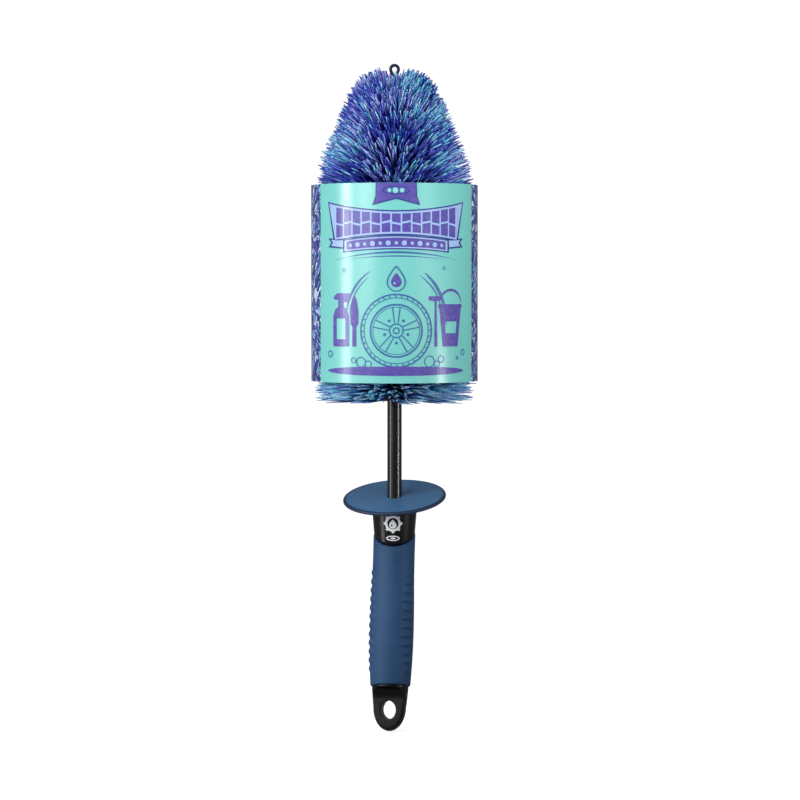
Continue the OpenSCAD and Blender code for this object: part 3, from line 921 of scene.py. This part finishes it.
# %% Rib the flanks
RIB_INPUTS = {"First Rib": ("NodeSocketFloat", -0.09), "Rib Pitch": ("NodeSocketFloat", 0.006),
              "Ribs": ("NodeSocketInt", 12), "Rib Height": ("NodeSocketFloat", 0.0006),
              "Field Middle": ("NodeSocketFloat", -0.05),
              "Field Half Length": ("NodeSocketFloat", 0.04),
              "Field Angle": ("NodeSocketFloat", 1.2),
              "Field Half Angle": ("NodeSocketFloat", 0.9)}
rib_tree = bpy.data.node_groups.new("flank_ribs", "GeometryNodeTree")
rib_tree.interface.new_socket("Geometry", in_out="INPUT", socket_type="NodeSocketGeometry")
for label, (kind, value) in RIB_INPUTS.items():
    rib_tree.interface.new_socket(label, in_out="INPUT", socket_type=kind).default_value = value
rib_tree.interface.new_socket("Geometry", in_out="OUTPUT", socket_type="NodeSocketGeometry")
given = rib_tree.nodes.new("NodeGroupInput").outputs
at_t, at_angle, at_edge = (stored(rib_tree, n) for n in ("t", "angle", "edge"))
count_along = maths(rib_tree, "DIVIDE", maths(rib_tree, "SUBTRACT", at_t, given["First Rib"]),
                    given["Rib Pitch"])
nearest = maths(rib_tree, "ROUND", count_along)
nearest = add(rib_tree, "ShaderNodeClamp", {"Value": nearest, "Min": 0.0, "Max": maths(
    rib_tree, "SUBTRACT", given["Ribs"], 1.0)}).outputs[0]
off = maths(rib_tree, "ABSOLUTE", maths(rib_tree, "SUBTRACT", count_along, nearest))
crest = add(rib_tree, "ShaderNodeMapRange", {"Value": off, "From Min": 0.12, "From Max": 0.40,
            "To Min": 1.0, "To Max": 0.0}, interpolation_type="SMOOTHERSTEP").outputs[0]
# The field is a crescent on each side: widest at its middle, closing to nothing at its ends.
from_middle = maths(rib_tree, "DIVIDE", maths(rib_tree, "SUBTRACT", at_t,
                    given["Field Middle"]), given["Field Half Length"])
swell = maths(rib_tree, "SQRT", maths(rib_tree, "MAXIMUM", maths(rib_tree, "SUBTRACT", 1.0,
              maths(rib_tree, "MULTIPLY", from_middle, from_middle)), 0.0))
half_field = maths(rib_tree, "MULTIPLY", given["Field Half Angle"], swell)
to_side = maths(rib_tree, "ABSOLUTE", maths(rib_tree, "SUBTRACT", maths(
    rib_tree, "PINGPONG", at_angle, math.pi), given["Field Angle"]))
inside = add(rib_tree, "ShaderNodeMapRange", {
    "Value": maths(rib_tree, "SUBTRACT", half_field, to_side),
    "From Min": 0.0, "From Max": 0.10, "To Min": 0.0, "To Max": 1.0},
    interpolation_type="SMOOTHSTEP").outputs[0]
push = maths(rib_tree, "MULTIPLY", maths(rib_tree, "MULTIPLY", crest, inside),
             maths(rib_tree, "MULTIPLY", given["Rib Height"], at_edge))
outward = add(rib_tree, "GeometryNodeInputNamedAttribute", {"Name": "outwards"},
              data_type="FLOAT_VECTOR").outputs[0]
scaled = add(rib_tree, "ShaderNodeVectorMath", operation="SCALE")
rib_tree.links.new(outward, scaled.inputs[0])
rib_tree.links.new(push, scaled.inputs["Scale"])
ribbed = add(rib_tree, "GeometryNodeSetPosition", {"Geometry": given["Geometry"],
                                                   "Offset": scaled.outputs[0]}).outputs[0]
kept_rib = store(rib_tree, ribbed, "rib", maths(rib_tree, "MULTIPLY", crest, inside))
rib_tree.links.new(kept_rib, rib_tree.nodes.new("NodeGroupOutput").inputs[0])

modifier = soft_grip.modifiers.new("ribs", "NODES")
modifier.node_group = rib_tree
rib_sockets = {s.name: s.identifier for s in rib_tree.interface.items_tree
               if s.in_out == "INPUT"}
for label, value in {"First Rib": (0.0276 - LEAN_FROM) / math.cos(lean),
                     "Rib Pitch": 6.04 * MM, "Ribs": 12, "Rib Height": 0.72 * MM,
                     "Field Middle": (0.0606 - LEAN_FROM) / math.cos(lean),
                     "Field Half Length": 39 * MM, "Field Angle": math.radians(63),
                     "Field Half Angle": math.radians(25)}.items():
    modifier[rib_sockets[label]] = value
made_real(soft_grip)
for name in ("t", "angle", "edge", "outwards"):
    soft_grip.data.attributes.remove(soft_grip.data.attributes[name])
smooth_faces(soft_grip, 60)
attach(soft_grip, "brush")
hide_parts("grip_sleeve")
print("grip", triangles(soft_grip), "triangles with ribs")

# %% [markdown]
# ## Handle moulding
#
# The black core shows as a flared collar and as the tail with its hang hole. The CAD solid
# has hard edges where a mould leaves round ones. A copy is merged, remeshed into small even
# faces and relaxed, which rounds every edge by about a millimetre.

# %% Soften the core
def copy_of(node, name, material):
    thing = bpy.data.objects.new(name, nodes[node].data.copy())
    bpy.context.scene.collection.objects.link(thing)
    mesh_builder = bmesh.new()
    mesh_builder.from_mesh(thing.data)
    bmesh.ops.remove_doubles(mesh_builder, verts=mesh_builder.verts, dist=0.01 * MM)
    mesh_builder.to_mesh(thing.data)
    mesh_builder.free()
    thing.data.materials.clear()
    thing.data.materials.append(material)
    return thing


handle_moulding = copy_of("handle_core", "handle_moulding", satin_black)
remesh = handle_moulding.modifiers.new("even", "REMESH")
remesh.mode, remesh.voxel_size = "VOXEL", 0.45 * MM
relax = handle_moulding.modifiers.new("relax", "SMOOTH")
relax.factor, relax.iterations = 0.5, 5
thin_out = handle_moulding.modifiers.new("thin", "DECIMATE")
thin_out.ratio = 0.6
made_real(handle_moulding)
smooth_faces(handle_moulding)
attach(handle_moulding, "brush")
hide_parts("handle_core")
print("core", triangles(handle_moulding), "triangles")

# %% [markdown]
# ## Card sleeve
#
# The sleeve is thin glossy card. A real one is never quite round, and its edges wave by a
# few tenths of a millimetre, which shows in the highlight, so the tube is made by code with
# both walls. The print is in the material: a plain front panel, a busy pattern behind it,
# and bare grey board inside.

# %% Roll the card
CARD = 0.4 * MM
FRONT = CAMERA_AZIMUTH + math.radians(1.2)      # middle of the printed front
COLUMNS, RINGS = 240, 28


def card_point(r, k, share):
    angle = 2 * math.pi * k / COLUMNS
    wave = 0.10 * MM * math.sin(2 * angle + 0.7) + 0.06 * MM * math.sin(5 * angle + 3 * share)
    z = sleeve_low + (sleeve_high - sleeve_low) * share
    return (axis_x + (r + wave) * math.sin(angle), axis_y - (r + wave) * math.cos(angle), z)


card_rows = [(sleeve_r - 0.12 * MM, j / RINGS) for j in range(RINGS + 1)]
card_rows += [(sleeve_r - CARD - 0.12 * MM, j / RINGS) for j in range(RINGS, -1, -1)]
card_points = [card_point(r, k, share) for r, share in card_rows for k in range(COLUMNS)]
total = len(card_rows)
card_faces = [(i * COLUMNS + k, i * COLUMNS + (k + 1) % COLUMNS,
               ((i + 1) % total) * COLUMNS + (k + 1) % COLUMNS, ((i + 1) % total) * COLUMNS + k)
              for i in range(total) for k in range(COLUMNS)]
PANEL_OFFSET, PANEL_HALF = math.radians(1.2), math.radians(63.4)


def card_finish(name, printed_panel=True):
    """Gloss laminated card: the panel in front, the pattern elsewhere, board inside."""
    material = bpy.data.materials.new(name)
    material.use_nodes = True
    tree = material.node_tree
    shader = tree.nodes["Principled BSDF"]
    place = add(tree, "ShaderNodeTexCoord").outputs["Object"]
    at = add(tree, "ShaderNodeSeparateXYZ", [vectors(
        tree, "SUBTRACT", place, (axis_x, axis_y, sleeve_low))])
    angle = maths(tree, "ARCTAN2", at.outputs["X"], maths(tree, "MULTIPLY", at.outputs["Y"], -1.0))
    angle = maths(tree, "SUBTRACT", angle, FRONT)
    radius = maths(tree, "SQRT", maths(tree, "ADD",
                   maths(tree, "MULTIPLY", at.outputs["X"], at.outputs["X"]),
                   maths(tree, "MULTIPLY", at.outputs["Y"], at.outputs["Y"])))
    # The busy pattern: short strands in navy, purple, blue and cyan that lean two ways.
    warp = add(tree, "ShaderNodeTexNoise", {"Vector": place, "Scale": 130.0, "Detail": 1.0})
    wobble = vectors(tree, "MULTIPLY", vectors(tree, "SUBTRACT", warp.outputs["Color"],
                     (0.5, 0.5, 0.5)), (2.6, 1.6, 0.0))
    round_about = maths(tree, "MULTIPLY", angle, sleeve_r)
    layers = []
    for slant in (math.radians(38), math.radians(-50)):
        across = maths(tree, "SUBTRACT", maths(tree, "MULTIPLY", round_about, math.cos(slant)),
                       maths(tree, "MULTIPLY", at.outputs["Z"], math.sin(slant)))
        along = maths(tree, "ADD", maths(tree, "MULTIPLY", round_about, math.sin(slant)),
                      maths(tree, "MULTIPLY", at.outputs["Z"], math.cos(slant)))
        strands = vectors(tree, "ADD", wobble, add(tree, "ShaderNodeCombineXYZ", [
            maths(tree, "MULTIPLY", across, 520.0), maths(tree, "MULTIPLY", along, 130.0),
            0.0]).outputs[0])
        cells = add(tree, "ShaderNodeTexVoronoi", {"Vector": strands, "Scale": 1.0},
                    voronoi_dimensions="2D")
        edges = add(tree, "ShaderNodeTexVoronoi", {"Vector": strands, "Scale": 1.0},
                    feature="DISTANCE_TO_EDGE", voronoi_dimensions="2D")
        pick = add(tree, "ShaderNodeSeparateXYZ", [cells.outputs["Color"]]).outputs["X"]
        fills = ramp(tree, pick, [(0.0, linear(44, 52, 116)), (0.30, linear(84, 80, 172)),
                                  (0.46, linear(86, 128, 192)), (0.62, linear(120, 172, 216)),
                                  (0.78, linear(164, 196, 234)), (0.90, linear(212, 224, 250))],
                     "CONSTANT")
        outline = maths(tree, "LESS_THAN", edges.outputs["Distance"], 0.10)
        layers.append(mix_colour(tree, outline, fills, linear(34, 42, 100)))
    lean_noise = add(tree, "ShaderNodeTexNoise", {"Vector": place, "Scale": 95.0})
    which = maths(tree, "GREATER_THAN", lean_noise.outputs[0], 0.5)
    busy = mix_colour(tree, which, layers[0], layers[1])
    # The panel: one turquoise ink with a faint print grain.
    grain = add(tree, "ShaderNodeTexNoise", {"Vector": place, "Scale": 900.0, "Detail": 2.0})
    teal = ramp(tree, grain.outputs[0], [(0.35, linear(115, 198, 192)),
                                         (0.65, linear(120, 202, 196))])
    in_panel = maths(tree, "LESS_THAN", maths(tree, "ABSOLUTE", maths(
        tree, "SUBTRACT", angle, PANEL_OFFSET)), PANEL_HALF)
    outer = mix_colour(tree, in_panel if printed_panel else 0.0, busy, teal)
    board = ramp(tree, grain.outputs[0], [(0.3, linear(196, 194, 188)),
                                          (0.7, linear(212, 210, 205))])
    is_outer = maths(tree, "GREATER_THAN", radius, sleeve_r - 0.32 * MM)
    tree.links.new(mix_colour(tree, is_outer, board, outer), shader.inputs["Base Color"])
    rough = add(tree, "ShaderNodeMapRange", {"Value": is_outer, "To Min": 0.75, "To Max": 0.27})
    tree.links.new(rough.outputs[0], shader.inputs["Roughness"])
    swell = add(tree, "ShaderNodeTexNoise", {"Vector": place, "Scale": 22.0, "Detail": 1.0})
    relief = add(tree, "ShaderNodeBump", {"Height": swell.outputs[0], "Strength": 0.08,
                                          "Distance": 0.002})
    tree.links.new(relief.outputs[0], shader.inputs["Normal"])
    shader.inputs["Specular IOR Level"].default_value = 0.8
    return material


printed_card = card_finish("printed_card")
card_wrap = smooth_faces(mesh_object("card_wrap", card_points, card_faces, printed_card), 40)
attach(card_wrap, "sleeve")
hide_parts("card_sleeve")
dress("sleeve_seam", card_finish("lap_card", printed_panel=False))
print("card", triangles(card_wrap), "triangles")

# %% [markdown]
# ## Ink
#
# The front carries a flat printed design: a tab, a banner of tyre-tread blocks, a ribbon of
# bubbles, a wheel with a drop above it, a bottle, a bucket and a shadow. It is generic and
# has no lettering. Each shape is drawn flat as closed loops, filled, cut into narrow upright
# strips so that it can bend, and wrapped round the sleeve as a film a few hundredths thick.

# %% Flat shapes


def oval(x, y, a, b=None, steps=56, start=0.0):
    b = a if b is None else b
    return [(x + a * math.cos(start + 2 * math.pi * k / steps),
             y + b * math.sin(start + 2 * math.pi * k / steps)) for k in range(steps)]


def ring(x, y, r, width, squash=1.0):
    return [oval(x, y, r, r * squash), oval(x, y, r - width, (r - width) * squash)]


def arc_band(x, y, r, width, start, end, steps=40):
    """A crescent: full width in its middle, pointed at its ends."""
    angles = [math.radians(start + (end - start) * k / steps) for k in range(steps + 1)]
    outer = [(x + r * math.cos(a), y + r * math.sin(a)) for a in angles]
    inner = []
    for k, a in reversed(list(enumerate(angles))):
        w = width * math.sin(math.pi * k / steps) ** 0.6 if 0 < k < steps else 0.0
        inner.append((x + (r - w) * math.cos(a), y + (r - w) * math.sin(a)))
    return outer + inner[1:-1]


def drop(x, y, half_width, height, steps=40):
    """A water drop: round below, pointed above. x, y is the middle of the round part."""
    loop = []
    for k in range(steps):
        a = 2 * math.pi * k / steps
        up = math.cos(a)
        squeeze = 1 - 0.62 * max(0.0, up) ** 1.5
        top = (height - half_width) if up > 0 else half_width
        loop.append((x + half_width * math.sin(a) * squeeze, y + up * top))
    return loop


def between(x_low, x_high, low_edge, high_edge, steps=24):
    """A shape between two curves over a range of x."""
    xs = [x_low + (x_high - x_low) * k / steps for k in range(steps + 1)]
    return [(x, low_edge(x)) for x in xs] + [(x, high_edge(x)) for x in reversed(xs)]


def bar(x1, y1, x2, y2, width):
    length = math.hypot(x2 - x1, y2 - y1)
    nx, ny = -(y2 - y1) / length * width / 2, (x2 - x1) / length * width / 2
    return [(x1 + nx, y1 + ny), (x2 + nx, y2 + ny), (x2 - nx, y2 - ny), (x1 - nx, y1 - ny)]


# %% Wrap a shape
def signed_area(loop):
    return sum(a[0] * b[1] - b[0] * a[1] for a, b in zip(loop, loop[1:] + loop[:1])) / 2


def film(name, shapes, material, wrap, lift, strip=2.4):
    """shapes: lists of loops in mm, an inner loop being a hole. wrap: (x, y, lift) to a
    point. Each shape becomes a thin closed film."""
    flat = bmesh.new()
    for loops in shapes:
        outline = bpy.data.curves.new(name, "CURVE")
        outline.dimensions, outline.fill_mode = "2D", "BOTH"
        for loop in loops:
            line = outline.splines.new("POLY")
            line.points.add(len(loop) - 1)
            line.points.foreach_set("co", [c for x, y in loop for c in (x, y, 0, 1)])
            line.use_cyclic_u = True
        holder = bpy.data.objects.new(name, outline)
        bpy.context.scene.collection.objects.link(holder)
        bpy.context.view_layer.update()
        graph = bpy.context.evaluated_depsgraph_get()
        mesh = bpy.data.meshes.new_from_object(holder.evaluated_get(graph))
        bpy.data.objects.remove(holder)
        flat.from_mesh(mesh)
    bmesh.ops.remove_doubles(flat, verts=flat.verts, dist=1e-4)
    xs = [v.co.x for v in flat.verts]
    for k in range(math.ceil(min(xs) / strip), math.floor(max(xs) / strip) + 1):
        everything = flat.verts[:] + flat.edges[:] + flat.faces[:]
        bmesh.ops.bisect_plane(flat, geom=everything, plane_co=(k * strip, 0, 0),
                               plane_no=(1, 0, 0), dist=1e-5)
    bmesh.ops.triangulate(flat, faces=flat.faces)
    for face in flat.faces:
        if face.normal.z < 0:
            face.normal_flip()
    top = bmesh.ops.extrude_face_region(flat, geom=flat.faces[:])
    raised = {v for v in top["geom"] if isinstance(v, bmesh.types.BMVert)}
    for vert in flat.verts:
        vert.co = wrap(vert.co.x, vert.co.y, lift if vert in raised else lift * 0.3)
    bmesh.ops.recalc_face_normals(flat, faces=flat.faces)
    mesh = bpy.data.meshes.new(name)
    flat.to_mesh(mesh)
    flat.free()
    thing = bpy.data.objects.new(name, mesh)
    bpy.context.scene.collection.objects.link(thing)
    mesh.materials.append(material)
    return thing


def on_sleeve(x, y, lift):
    angle = FRONT + x * MM / sleeve_r
    r = sleeve_r + lift * MM
    turn = math.atan2(math.sin(angle), math.cos(angle)) % (2 * math.pi)
    wave = 0.10 * MM * math.sin(2 * turn + 0.7)
    return (axis_x + (r + wave) * math.sin(angle), axis_y - (r + wave) * math.cos(angle),
            sleeve_low + y * MM)


def ink(name, first, second):
    material = finish(name, first, second, (0.22, 0.30), 900, 0.0, drift=200)
    return material


purple_ink = ink("purple_ink", linear(84, 74, 156), linear(94, 84, 166))
navy_ink = ink("navy_ink", linear(52, 64, 132), linear(60, 74, 142))
line_ink = ink("line_ink", linear(64, 104, 158), linear(70, 112, 166))
pale_ink = ink("pale_ink", linear(150, 178, 222), linear(160, 188, 230))
teal_ink = ink("teal_ink", linear(124, 206, 202), linear(132, 212, 208))


def inked(name, shapes, material, lift):
    thing = film(name, shapes, material, on_sleeve, lift)
    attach(thing, "sleeve")
    print(name, triangles(thing), "triangles")
    return thing


# %% Banner
SHEET_TOP = (sleeve_high - sleeve_low) / MM


def banner_top(x):
    return 116.3 + 6.2 * (abs(x) / 53.0) ** 1.8


def banner_foot(x):
    return 99.6 - 4.0 * (abs(x) / 46.0) ** 1.7


def ribbon_foot(x):
    return 90.8 - 2.2 * (abs(x) / 38.0) ** 2


def banner_shape(inset):
    side = 53.0 - 1.4 * inset
    foot = 47.0 - 1.4 * inset
    steps = 40
    over = [(-side + 2 * side * k / steps) for k in range(steps + 1)]
    under = [(foot - 2 * foot * k / steps) for k in range(steps + 1)]
    return [(x, banner_top(x) - inset) for x in over] + [
        (x, banner_foot(x) + inset) for x in under]


tab = [(-13.1, SHEET_TOP - 0.2), (13.1, SHEET_TOP - 0.2), (13.3, 126), (15.0, 120.8),
       (0, 124.8), (-15.0, 120.8), (-13.3, 126)]
tab_edge = [(-13.9, SHEET_TOP - 0.1), (13.9, SHEET_TOP - 0.1), (14.1, 126), (16.4, 119.5),
            (0, 123.7), (-16.4, 119.5), (-14.1, 126)]
inked("ink_outlines", [
    [tab_edge], [banner_shape(0)],
    [between(-38.5, 38.5, lambda x: ribbon_foot(x) - 0.8, lambda x: banner_foot(x) - 0.1)],
    [[(-36, 90.2), (-52.5, 91.6), (-49.6, 94.6), (-52.5, 97.8), (-44, 97.2), (-36, 97.4)]],
    [[(36, 97.4), (44, 97.2), (52.5, 97.8), (49.6, 94.6), (52.5, 91.6), (36, 90.2)]]],
    navy_ink, 0.03)
inked("ink_banner", [
    [banner_shape(1.0)],
    [between(-37.2, 37.2, lambda x: ribbon_foot(x) + 0.1, lambda x: banner_foot(x) - 0.9)],
    [[(-38.5, 91.6), (-49.6, 92.6), (-47.6, 94.6), (-49.6, 96.6), (-44, 96.2), (-38.5, 96.2)]],
    [[(38.5, 96.2), (44, 96.2), (49.6, 96.6), (47.6, 94.6), (49.6, 92.6), (38.5, 91.6)]]],
    pale_ink, 0.05)

tread = []
TREADS = 13
for k in range(TREADS):
    pitch = 90.0 / TREADS
    left = -45.0 + k * pitch + 0.55
    right = left + pitch - 1.1
    slant = 1.1 if k % 2 else -1.1
    middle_y = 108.0 - 0.5 * (abs(left + right) / 90.0)
    up = [[(left, middle_y + 0.6), (right, middle_y + 0.6 + slant),
           (right, banner_top(right) - 2.3), (left, banner_top(left) - 2.3)]]
    down = [[(left, banner_foot(left) + 2.2), (right, banner_foot(right) + 2.2),
             (right, middle_y - 0.7 + slant), (left, middle_y - 0.7)]]
    tread += [up, down]
ribbon = [between(-35.6, 35.6, lambda x: ribbon_foot(x) + 0.9, lambda x: banner_foot(x) - 1.7)]
ribbon += [oval(-32.4 + 5.4 * k, 94.4 - 2.2 * (abs(-32.4 + 5.4 * k) / 38) ** 1.9,
                1.7 if k % 2 else 1.15) for k in range(13)]
inked("ink_purple", [
    [tab, oval(0, 129.6, 9.6, 3.0), oval(0, 129.6, 8.4, 2.2)], *tread, ribbon,
    [oval(0, 8.2, 53.0, 3.2)]], purple_ink, 0.07)
inked("ink_tab_bubbles", [[oval(-4.6, 129.6, 1.3)], [oval(-0.6, 129.6, 1.9)],
                          [oval(3.9, 129.6, 1.5)]], teal_ink, 0.09)

# %% Wheel, drop, bottle and bucket
WHEEL_Y, TYRE_R, RIM_R = 35.4, 25.0, 18.2
wheel = [ring(0, WHEEL_Y, TYRE_R, 1.1), ring(0, WHEEL_Y, TYRE_R - 2.6, 0.6),
         ring(0, WHEEL_Y, RIM_R, 1.2), ring(0, WHEEL_Y, RIM_R - 2.0, 0.5),
         ring(0, WHEEL_Y, 5.0, 0.9), ring(0, WHEEL_Y, 2.4, 0.9)]
for k in range(5):
    a = math.radians(90 + 72 * k)
    for side in (-0.16, 0.16):
        wheel.append([bar(5.2 * math.cos(a + side * 1.5), WHEEL_Y + 5.2 * math.sin(a + side * 1.5),
                          15.9 * math.cos(a + side), WHEEL_Y + 15.9 * math.sin(a + side), 0.8)])
    b = a + math.radians(36)
    wheel.append([oval(8.2 * math.cos(b), WHEEL_Y + 8.2 * math.sin(b), 1.0)])
for k in range(36):
    a = math.radians(10 * k)
    wheel.append([bar(22.6 * math.cos(a), WHEEL_Y + 22.6 * math.sin(a),
                      24.4 * math.cos(a + 0.05), WHEEL_Y + 24.4 * math.sin(a + 0.05), 0.7)])
drop_line = [drop(0, 68.2, 6.6, 17.5), drop(0, 68.0, 5.6, 15.4)]
arcs = [[arc_band(0, 43.7, 36.5, 2.4, -8, 58)], [arc_band(0, 43.7, 33.0, 0.9, 4, 62)],
        [arc_band(0, 43.7, 36.5, 1.6, 118, 182)], [arc_band(0, 43.7, 33.6, 0.8, 124, 176)]]
swoosh = [[between(-46, 46, lambda x: 87.4 - 4.6 * (abs(x) / 46) ** 2,
                   lambda x: 88.9 - 6.0 * (abs(x) / 46) ** 1.7)],
          [between(-40, 40, lambda x: 85.2 - 2.6 * (abs(x) / 40) ** 2,
                   lambda x: 86.0 - 3.4 * (abs(x) / 40) ** 1.7)]]
bubbles = [ring(-50.5, 19.5, 2.4, 0.8), ring(-37.5, 76.0, 1.5, 0.6), ring(52.5, 20.5, 2.2, 0.8),
           ring(46.5, 16.8, 1.3, 0.6), ring(34.5, 77.5, 1.2, 0.5), ring(-30, 15.5, 2.0, 0.6),
           ring(32, 16.2, 2.6, 0.8)]
foam = [ring(-24.5, 14.2, 3.6, 0.7), ring(-19.2, 12.8, 2.6, 0.7), ring(23.0, 14.6, 4.0, 0.7),
        ring(28.6, 12.9, 2.4, 0.7)]
inked("ink_lines", wheel + [drop_line] + arcs + swoosh + bubbles + foam, line_ink, 0.05)

bottle = [[(-47.5, 25.5), (-46.7, 24.6), (-34.3, 24.6), (-33.5, 25.5), (-33.5, 45),
           (-35.5, 49.5), (-38.2, 51.4), (-38.2, 54.4), (-33.6, 54.4), (-32.2, 57.8),
           (-33.2, 60.6), (-43.6, 60.6), (-46.6, 58.6), (-46.9, 56.2), (-42.8, 56.2),
           (-42.8, 51.4), (-45.6, 49.5), (-47.5, 45)],
          [(-44.4, 29.5), (-36.6, 29.5), (-36.6, 43.5), (-44.4, 43.5)]]
bucket = [[(30.6, 50.5), (33.4, 24.6), (46.8, 24.6), (50.2, 50.5), (51.0, 50.5), (51.0, 53.2),
           (29.8, 53.2), (29.8, 50.5)],
          [(35.0, 41.5), (45.8, 41.5), (45.0, 33.5), (35.8, 33.5)]]
handle = [arc_band(40.4, 53.2, 10.4, 1.7, 4, 176)]
small_brush = [[(-30.9, 24.6), (-27.9, 24.6), (-27.9, 38), (-26.4, 40), (-26.2, 48), (-27.6, 56),
                (-29.4, 59.5), (-31.2, 56), (-32.6, 48), (-32.4, 40), (-30.9, 38)]]
squeegee = [[(26.6, 24.6), (29.0, 24.6), (28.4, 55.2), (32.4, 55.8), (32.4, 58.6),
             (22.6, 58.6), (22.6, 55.8), (27.0, 55.2)]]
inked("ink_blocks", [bottle, bucket, handle, small_brush, squeegee], purple_ink, 0.07)
inked("ink_drop", [[drop(0, 68.2, 3.6, 9.6), oval(-1.2, 67.4, 0.9)]], purple_ink, 0.07)

# %% [markdown]
# ## Collar print
#
# A small white print sits on the black collar. It is drawn the same way, and is a generic
# drop in a wheel ring with a little oval under it.

# %% Print the collar
COLLAR_FOOT, COLLAR_FOOT_R, COLLAR_FLARE = 0.1116, 13.4 * MM, 3.5 / 43.3
white_print = finish("white_print", linear(226, 228, 230), linear(240, 241, 243), (0.4, 0.5),
                     1500, 0.05)
PRINT_TURN = math.radians(9.5)


def on_collar(x, y, lift):
    z = 0.1290 + y * MM
    r = COLLAR_FOOT_R + (z - COLLAR_FOOT) * COLLAR_FLARE + lift * MM
    angle = PRINT_TURN + x * MM / r
    return (axis_x + r * math.sin(angle), axis_y - r * math.cos(angle), z)


teeth = [[bar(5.2 * math.cos(a), 5.2 * math.sin(a), 6.6 * math.cos(a), 6.6 * math.sin(a), 1.7)]
         for a in (2 * math.pi * k / 8 for k in range(8))]
emblem = [[oval(0, 0, 5.6), oval(0, 0, 3.9)], [drop(0, -0.9, 2.6, 6.2), oval(-0.8, -1.3, 0.6)],
          [oval(0, -10.2, 4.8, 1.8), oval(0, -10.2, 3.9, 1.1)],
          [oval(0, -10.2, 1.8, 0.6)]] + teeth
collar_print = film("collar_print", emblem, white_print, on_collar, 0.10, strip=1.2)
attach(collar_print, "brush")
print("collar print", triangles(collar_print), "triangles")
